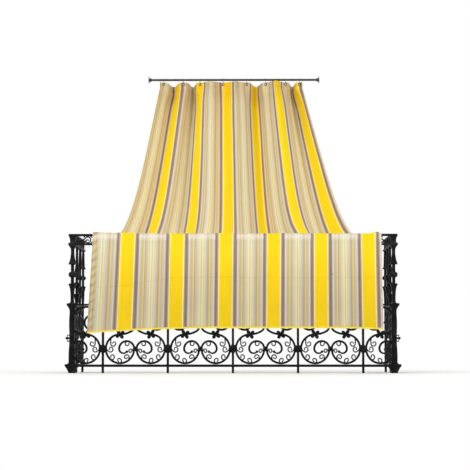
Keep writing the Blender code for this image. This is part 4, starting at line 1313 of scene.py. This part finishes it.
def scrollUnit(left, right, low, high):
    # one scroll with its curls, rosette and end knobs; left is its upright's side
    side = 1 if right > left else -1
    drawn = arcChain((0.0, 0.0), scroll["innerHeading"], lowerVolute + upperVolute)
    xs = [x for x, _ in drawn]
    zs = [z for _, z in drawn]
    bar, deep = scroll["bar"]
    reach = bar / math.cos(math.radians(scroll["cornerTurn"]))
    scaleX = (abs(right - left) - reach) / (max(xs) - min(xs))
    scaleZ = (high - low - reach) / (max(zs) - min(zs))
    ringX, ringTop = arcChain((0.0, 0.0), scroll["innerHeading"], lowerVolute)[-1]
    ring = (ringX, ringTop - scroll["ring"])

    def place(point):
        return (left + side * (reach / 2 + (point[0] - min(xs)) * scaleX),
                low + reach / 2 + (point[1] - min(zs)) * scaleZ)

    path = [place(point) for point in drawn]
    meshes = [sweptBar(path, bar, deep, 0.7, 0.7, 0.04)]
    curls = []
    for angle, stem, bend in scroll["curls"]:
        run = ((0.030, 60), (stem, None)) if stem > 0.0 else ()
        curls.append((polar(scroll["ring"], angle, ring), angle + 90,
                      run + ((bend, 190), (bend * 0.62, 150))))
    angle, bend = scroll["innerCurl"]
    volute = lowerVolute[1][0]
    middle = (ring[0] + scroll["ring"] - volute, ring[1])
    curls.append((polar(volute, angle, middle), angle + 90,
                  ((0.022, 60), (bend, 190), (bend * 0.6, 60))))
    for start, heading, run in curls:
        curl = [place(point) for point in arcChain(start, heading, run)]
        meshes.append(sweptBar(curl, *scroll["curlBar"], 1.0, 0.75, 0.3))
        meshes.append(bossAt(*curl[-1], scroll["curlKnob"]))
    for end in (path[0], path[-1]):
        meshes.append(bossAt(*end, scroll["endKnob"]))
    top = place(polar(scroll["ring"], 90, ring))
    meshes.append(bossAt(*top, scroll["rosette"], scroll["rosetteTurn"] * side))
    return meshes, path, place(ring)[1]


def scrollPair(node):
    # two scrolls that meet, tied at the ring and at the straight arm
    low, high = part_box(node)
    half = max(high.x - low.x, high.y - low.y) / 2
    gap = scroll["halfGap"]
    meshes, _, _ = scrollUnit(-half, -gap, low.z, high.z)
    second, drawn, ringHeight = scrollUnit(half, gap, low.z, high.z)
    meshes += second
    bar, deep = scroll["bar"]
    arm = [z for x, z in drawn if z > ringHeight + scroll["ring"] and abs(x) < 2 * bar]
    tie, over = scroll["tie"] / 2, scroll["tieOver"]
    for height in (ringHeight, sum(arm) / len(arm)):
        meshes.append(roundBlock(
            (-bar - over, -deep / 2 - over, height - tie),
            (bar + over, deep / 2 + over, height + tie), 0.0016))
    meshes.append(bossAt(0.0, ringHeight, scroll["pairKnot"]))
    return joinedMesh("scroll_pair", meshes, 35), (low + high) / 2


post = {
    "sides": 6,                 # points along each side of the section
    "slimmer": 0.011,           # how far its pilaster stands back from the solid's
    "leafPitch": 0.031,
    "leaf": (0.034, 0.0085, 0.0036),        # length, half-width and rise
    "leafTilt": 24,
    "leaves": (0.088, 0.425),   # heights between which they stand
    "trefoil": 0.2356,
    "lobe": (0.0100, 4, 0.0095, 0.3, 0.85),
}
# half-width, height and roundness of the section, from the top down
postRows = (
    (0.0, 0.9313, 0), (0.0268, 0.9313, 0), (0.0272, 0.9290, 0), (0.0228, 0.9225, 0),
    (0.0192, 0.9140, 0), (0.0178, 0.9040, 0), (0.0170, 0.8940, 0), (0.0180, 0.8850, 0),
    (0.0275, 0.8805, 0), (0.0290, 0.8765, 0), (0.0282, 0.8685, 0), (0.0240, 0.8620, 0),
    (0.0195, 0.8550, 0), (0.0150, 0.8480, 0), (0.0122, 0.8410, 0), (0.0110, 0.8300, 0),
    (0.0110, 0.8150, 0), (0.0120, 0.8000, 0), (0.0140, 0.7840, 0), (0.0170, 0.7670, 0),
    (0.0208, 0.7520, 0), (0.0246, 0.7412, 0), (0.0264, 0.7385, 0), (0.0262, 0.7365, 0),
    (0.0130, 0.7345, 0), (0.0106, 0.7330, 0), (0.0106, 0.6900, 0), (0.0130, 0.6862, 0.5),
    (0.0195, 0.6835, 1), (0.0242, 0.6785, 1), (0.0264, 0.6720, 1), (0.0270, 0.6667, 1), (0.0264, 0.6614, 1),
    (0.0242, 0.6549, 1), (0.0195, 0.6499, 1), (0.0130, 0.6472, 0.5), (0.0106, 0.6434, 0),
    (0.0106, 0.6080, 0), (0.0140, 0.6065, 0), (0.0262, 0.6042, 0), (0.0264, 0.6015, 0),
    (0.0222, 0.5940, 0), (0.0182, 0.5830, 0), (0.0150, 0.5670, 0), (0.0128, 0.5480, 0),
    (0.0116, 0.5250, 0), (0.0112, 0.4960, 0), (0.0124, 0.4795, 0), (0.0170, 0.4745, 0),
    (0.0350, 0.4700, 0), (0.0368, 0.4672, 0), (0.0345, 0.4590, 0), (0.0290, 0.4500, 0),
    (0.0228, 0.4410, 0), (0.0186, 0.4310, 0), (0.0164, 0.4180, 0), (0.0170, 0.3950, 0),
    (0.0190, 0.3600, 0), (0.0192, 0.3200, 0), (0.0176, 0.2800, 0), (0.0162, 0.2350, 0),
    (0.0178, 0.1900, 0), (0.0206, 0.1400, 0), (0.0212, 0.1050, 0), (0.0206, 0.0780, 0),
    (0.0230, 0.0670, 0), (0.0300, 0.0625, 0), (0.0446, 0.0600, 0), (0.0456, 0.0570, 0),
    (0.0448, 0.0480, 0), (0.0375, 0.0370, 0), (0.0305, 0.0250, 0), (0.0245, 0.0120, 0),
    (0.0206, 0.0020, 0), (0.0202, 0.0, 0), (0.0, 0.0, 0))


def squareTurned(name, rows):
    # a bar of square section with eased corners, whose half-width changes with height
    angle = np.radians(np.arange(0.0, 360.0, 90.0 / post["sides"]) + 45.0 / post["sides"])
    square = np.minimum(1.0 / np.maximum(np.abs(np.cos(angle)), np.abs(np.sin(angle))), 1.33)
    rings = []
    for half, height, roundness in rows:
        size = half * (square * (1.0 - roundness) + roundness)
        rings.append(np.stack((size * np.cos(angle), size * np.sin(angle),
                               0 * angle + height), axis=-1))
    mesh = closedMesh(name, rings)
    mesh.set_sharp_from_angle(angle=math.radians(32))
    return mesh


def leafMesh(length, half, rise):
    # a leaf with a groove down its middle, lying on the XZ plane and facing -Y
    rows = []
    for share in (0.0, 0.07, 0.18, 0.34, 0.52, 0.70, 0.86, 0.96, 1.0):
        width = half * math.sin(math.pi * share ** 0.8) ** 0.8 if 0.0 < share < 1.0 else 0.0
        curl = 1.0 + 0.8 * smooth((share - 0.6) / 0.4)
        rows.append([
            (side * width, -rise * lift * curl * min(1.0, 1.6 * width / half), length * share)
            for side, lift in (
                (-1.0, 0.0), (-0.75, 0.65), (-0.38, 1.0), (0.0, 0.45), (0.38, 1.0),
                (0.75, 0.65), (1.0, 0.0), (0.5, -0.8), (-0.5, -0.8))])
    return closedMesh("leaf", rows)


def postWidth(height):
    rows = [row for row in postRows if row[0] > 0.0]
    heights = [row[1] for row in reversed(rows)]
    return float(np.interp(height, heights, [row[0] for row in reversed(rows)]))


def makeCornerPosts(finish):
    # the corner posts with pointed mouldings, carved leaves and a trefoil on their outer side
    length, half, rise = post["leaf"]
    low, high = post["leaves"]
    height = post["trefoil"]
    start = postWidth(height) - 0.003
    curl = arcChain((start, 0.007), 74, ((0.040, -20), (0.0070, -130), (0.0045, -100)))
    for name, side in (("left", -1), ("right", 1)):
        meshes = [squareTurned("post", postRows)]
        for face in (0, 180):
            for foot in np.arange(low, high - length * 0.8, post["leafPitch"]):
                for lean in (-1, 1):
                    leaf = leafMesh(length, half, rise)
                    leaf.transform(
                        turned(face, "Z")
                        @ Matrix.Translation((0.0, -postWidth(foot) + 0.0008, foot))
                        @ turned(lean * post["leafTilt"], "Y"))
                    meshes.append(leaf)
        stem = [(side * (start + out), height) for out in (0.0, 0.008, 0.0155)]
        meshes.append(sweptBar(stem, 0.014, 0.014))
        meshes.append(bossAt(side * 0.0345, height, post["lobe"]))
        for lift in (-1, 1):
            meshes.append(sweptBar([(side * x, height + lift * z) for x, z in curl],
                                   0.0062, 0.011, 1.0, 0.8, 0.3))
        node = f"corner_post_{name}"
        middle = middleOf(node)
        ironPiece(f"cornerPost{name.capitalize()}", joinedMesh("corner_post", meshes, 32),
                  finish, [node], middle.x, middle.y)


sideUpright = {
    "lower": 0.060,         # how far its turned stretch lies below that of the corner posts
    "slimmer": 0.0018,
    "bar": 0.0080,          # half-width of the plain stretch below
    "collar": (0.0118, 0.0122, 0.0085),     # half-width at its edges and middle, half-height
    "knot": (0.0245, 6, 0.0165, 0.3, 0.9),
}


def makeSideUprights(finish):
    # the turned stretch of the bars in the middle of the sides, with collars at the ties
    top = railLow.z - 0.0002
    shift = sideUpright["lower"]
    bar = sideUpright["bar"]
    edge, middleWidth, tall = sideUpright["collar"]
    rows = [(0.0, top, 0), (0.0082, top, 0), (0.0082, 0.80, 0)]
    rows += [(half - sideUpright["slimmer"], height - shift, form)
             for half, height, form in postRows if 0.50 < height < 0.83]
    rows += [(0.0082, 0.44, 0), (bar, 0.40, 0)]
    collars = collarHeights()
    for height in sorted(collars, reverse=True):
        rows += [(bar, height + tall + 0.001, 0), (edge, height + tall, 0),
                 (middleWidth, height, 0), (edge, height - tall, 0),
                 (bar, height - tall - 0.001, 0)]
    rows += [(bar, 0.0, 0), (0.0, 0.0, 0)]
    for name in ("left", "right"):
        node = f"upright_side_{name}"
        middle = middleOf(node)
        meshes = [squareTurned("upright", rows),
                  bossAt(0.0, min(collars), sideUpright["knot"], 90, "Z")]
        ironPiece(f"sideUpright{name.capitalize()}", joinedMesh("side_upright", meshes, 32),
                  finish, [node], middle.x, middle.y)


def collarHeights():
    # where the scrolls are tied: at the middle of the ring and of the straight arm
    low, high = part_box("scrolls_front_3")
    _, drawn, ringHeight = scrollUnit(0.0, (high.x - low.x) / 2, low.z, high.z)
    bar = scroll["bar"][0]
    reach = min(x for x, z in drawn)
    arm = [z for x, z in drawn if z > ringHeight + scroll["ring"] and x < reach + 2 * bar]
    return ringHeight, sum(arm) / len(arm) if arm else ringHeight


frieze = {
    "bar": (0.0088, 0.012),
    "moulding": (0.0034, 0.026),    # height and depth of the strip under the handrail
    "foot": (0.0052, 0.018),        # the same of the strip under the bottom bar
    "tailStart": -0.0185,       # height of the tail's start from the volute's middle
    "tailMeets": 140,           # angle at which the tail meets the volute
    "knob": (0.0056, 4, 0.0066, 0.3, 0.85),
    "leaf": (0.024, 0.0044, 0.0032),        # in the corners round a volute
    "leafAway": 1.27,           # how far out a leaf stands, as a share of the volute
    "fromPost": 0.0185,         # where the scrolls start beside a corner post's middle
    "fromUpright": 0.0085,
    "stripFromPost": 0.0205,
    "stripPastWallPost": 0.0070,
    "bays": {                   # shares of a bay, in its scrolls from the outside inwards
        "end": (0.59, 0.41),
        "full": (0.25, 0.25, 0.25, 0.25),
        "sideFront": (0.40, 0.30, 0.30),
    },
}


def friezeScroll(start, end):
    # a running scroll: a tail from start that winds up in a volute against end
    bar, deep = frieze["bar"]
    low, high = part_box("frieze_bar_front")[1].z, railLow.z - frieze["moulding"][0]
    radius = (high - low - bar) / 2
    side = 1 if end > start else -1
    middle = (end - side * (radius + bar / 2), (low + high) / 2)
    meet = np.array(polar(radius, frieze["tailMeets"]))
    heading = frieze["tailMeets"] - 90
    tail = np.array((-(abs(end - start) - radius - bar / 2), frieze["tailStart"]))
    bend = meet - np.array(polar(0.45, heading)) * np.linalg.norm(meet - tail)
    path = [tuple(tail * (1 - t) ** 2 + 2 * bend * t * (1 - t) + meet * t ** 2)
            for t in np.linspace(0.0, 1.0, 8)[:-1]]
    path += arcChain(tuple(meet), heading, ((radius, -245), (radius * 0.50, -205)))
    placed = [(middle[0] + side * x, middle[1] + z) for x, z in path]
    meshes = [sweptBar(placed, bar, deep, 0.9, 0.8, 0.1), bossAt(*placed[-1], frieze["knob"])]
    length, half, rise = frieze["leaf"]
    away = (radius + bar / 2) * frieze["leafAway"]
    for corner in (45, 135, 225, 315):
        x, z = polar(away, corner, middle)
        leaf = leafMesh(length, half, rise)
        leaf.transform(
            Matrix.Translation((x, 0.0, z)) @ turned(-corner, "Y")
            @ Matrix.Translation((0.0, 0.0, -length / 2)))
        meshes.append(leaf)
    return meshes


def friezeBay(outer, inner, shares):
    meshes = []
    at = outer
    for share in shares:
        meshes += friezeScroll(at, at + (inner - outer) * share)
        at += (inner - outer) * share
    return meshes


def makeKnots(finish):
    # the leafed knots where two rings meet at an upright
    height = collarHeights()[0]
    meshes = [bossAt(middleOf(f"upright_front_{k}").x, height, scroll["uprightKnot"], 11 * k)
              for k in range(1, 6)]
    ironPiece("uprightKnots", joinedMesh("knots", meshes, 40), finish, (), 0.0, railMiddle.y)


def moulding(start, end, under, size):
    # a strip along the underside of a bar
    high, deep = size
    height = under - high / 2 + 0.0002
    return sweptBar([(x, height) for x in np.linspace(start, end, 12)], high, deep)


def makeStrips(start, end):
    # the strips under the handrail and under the bottom bar
    return [moulding(start, end, railLow.z, frieze["moulding"]),
            moulding(start, end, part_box("bottom_bar_front")[0].z, frieze["foot"])]


def makeFrieze(finish):
    # the band of running scrolls under the handrail
    bays = frieze["bays"]
    fromPost = frieze["fromPost"]
    fromUpright = frieze["fromUpright"]
    fromStrip = frieze["stripFromPost"]
    uprights = [middleOf(f"upright_front_{k}").x for k in range(1, 6)]
    posts = [middleOf("corner_post_left").x, middleOf("corner_post_right").x]
    meshes = friezeBay(posts[0] + fromPost, uprights[0] - fromUpright, bays["end"])
    meshes += friezeBay(posts[1] - fromPost, uprights[-1] + fromUpright, bays["end"])
    for first, second in ((0, 1), (1, 2), (4, 3), (3, 2)):
        away = math.copysign(fromUpright, second - first)
        meshes += friezeBay(uprights[first] + away, uprights[second] - away, bays["full"])
    meshes += makeStrips(posts[0] + fromStrip, posts[1] - fromStrip)
    ironPiece("friezeScrollsFront", joinedMesh("frieze", meshes, 35), finish, (),
              0.0, railMiddle.y)
    for name in ("left", "right"):
        corner = middleOf(f"corner_post_{name}")
        upright = middleOf(f"upright_side_{name}").y - corner.y
        wall = middleOf(f"wall_post_{name}").y - corner.y
        meshes = friezeBay(fromPost, upright - fromUpright, bays["sideFront"])
        meshes += friezeBay(upright + fromUpright, wall - fromUpright, bays["full"])
        meshes += makeStrips(fromStrip, wall + frieze["stripPastWallPost"])
        mesh = joinedMesh("frieze_side", meshes, 35)
        mesh.transform(turned(90, "Z"))
        ironPiece(f"friezeScrolls{name.capitalize()}", mesh, finish, (), corner.x, corner.y)


def makeScrollPanels(finish):
    for k in range(2, 6):
        node = f"scrolls_front_{k}"
        mesh, middle = scrollPair(node)
        ironPiece(f"scrollPanelFront{k}", mesh, finish, [node], middle.x, middle.y)
    pairLow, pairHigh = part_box("scrolls_front_2")
    unit = (pairHigh.x - pairLow.x) / 2 - scroll["halfGap"]
    for k, side in ((1, -1), (6, 1)):
        # the end scrolls are as wide as the others and run into the corner post
        node = f"scrolls_front_{k}"
        low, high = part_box(node)
        meshes, _, _ = scrollUnit(0.0, side * unit, low.z, high.z)
        work = workOn(joinedMesh("scroll_end", meshes, 35))
        reach = side * (high.x - low.x + post["slimmer"])
        bmesh.ops.bisect_plane(
            work, geom=work.verts[:] + work.edges[:] + work.faces[:], plane_co=(reach, 0.0, 0.0),
            plane_no=(side, 0.0, 0.0), clear_outer=True)
        bmesh.ops.holes_fill(work, edges=[edge for edge in work.edges if edge.is_boundary])
        ironPiece(f"scrollPanelFront{k}", workMesh("scroll_end", work), finish, [node],
                  low.x if side > 0 else high.x, (low.y + high.y) / 2)
    for name in ("left", "right"):
        panel = f"scrollPanelSide{name.capitalize()}"
        node = f"scrolls_side_{name}_2"
        mesh, middle = scrollPair(node)
        mesh.transform(turned(-90, "Z"))
        ironPiece(panel + "2", mesh, finish, [node], middle.x, middle.y)
        node = f"scrolls_side_{name}_1"
        low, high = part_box(node)
        meshes, _, _ = scrollUnit(0.0, high.y - low.y, low.z, high.z)
        mesh = joinedMesh("scroll_end", meshes, 35)
        mesh.transform(turned(-90, "Z"))
        ironPiece(panel + "1", mesh, finish, [node], (low.x + high.x) / 2, high.y)


# the railing's own bars, which keep their shape
plainBars = ("handrail", "frieze_bar", "middle_bar", "bottom_bar", "upright_front", "wall_post",
             "baluster")


def finishNodes(starts, finish):
    # CAD nodes whose names start like one of these get a finish
    for piece in bpy.context.scene.objects:
        if piece.type == "MESH" and piece.get("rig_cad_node", "").startswith(starts):
            for slot in piece.material_slots:
                slot.material = finish.material


# Everything

makeCamera()
makeSurroundings()
makeFloor()
print("studio made")

surface = clothSurface()
tape = makeBinding(surface, bindingFinish())
seams = makeStitching(surface, threadFinish())
rings = makeEyelets(eyeletFinish())
clothLook = clothFinish(surface[3], float(surface[1][..., 1].max()))
makeCloth(surface, clothLook)
makeHooks(metalFinish("hook_wire", paint(136, 132, 124), paint(86, 82, 76), 0.38, 300.0))
makeSockets(
    metalFinish("socket_metal", paint(96, 92, 86), paint(58, 55, 52), 0.5, 120.0),
    metalFinish("screw_metal", paint(150, 146, 138), paint(100, 96, 90), 0.4, 400.0))
finishNodes(("hanging_rod",), metalFinish(
    "rod_steel", paint(104, 98, 92), paint(66, 61, 56), 0.42, 60.0))
blackIron = ironFinish()
finishNodes(plainBars, blackIron)
makeScrollPanels(blackIron)
makeCornerPosts(blackIron)
makeSideUprights(blackIron)
makeKnots(blackIron)
makeFrieze(blackIron)
print("railing made")

bpy.context.scene.view_settings.view_transform = "Standard"
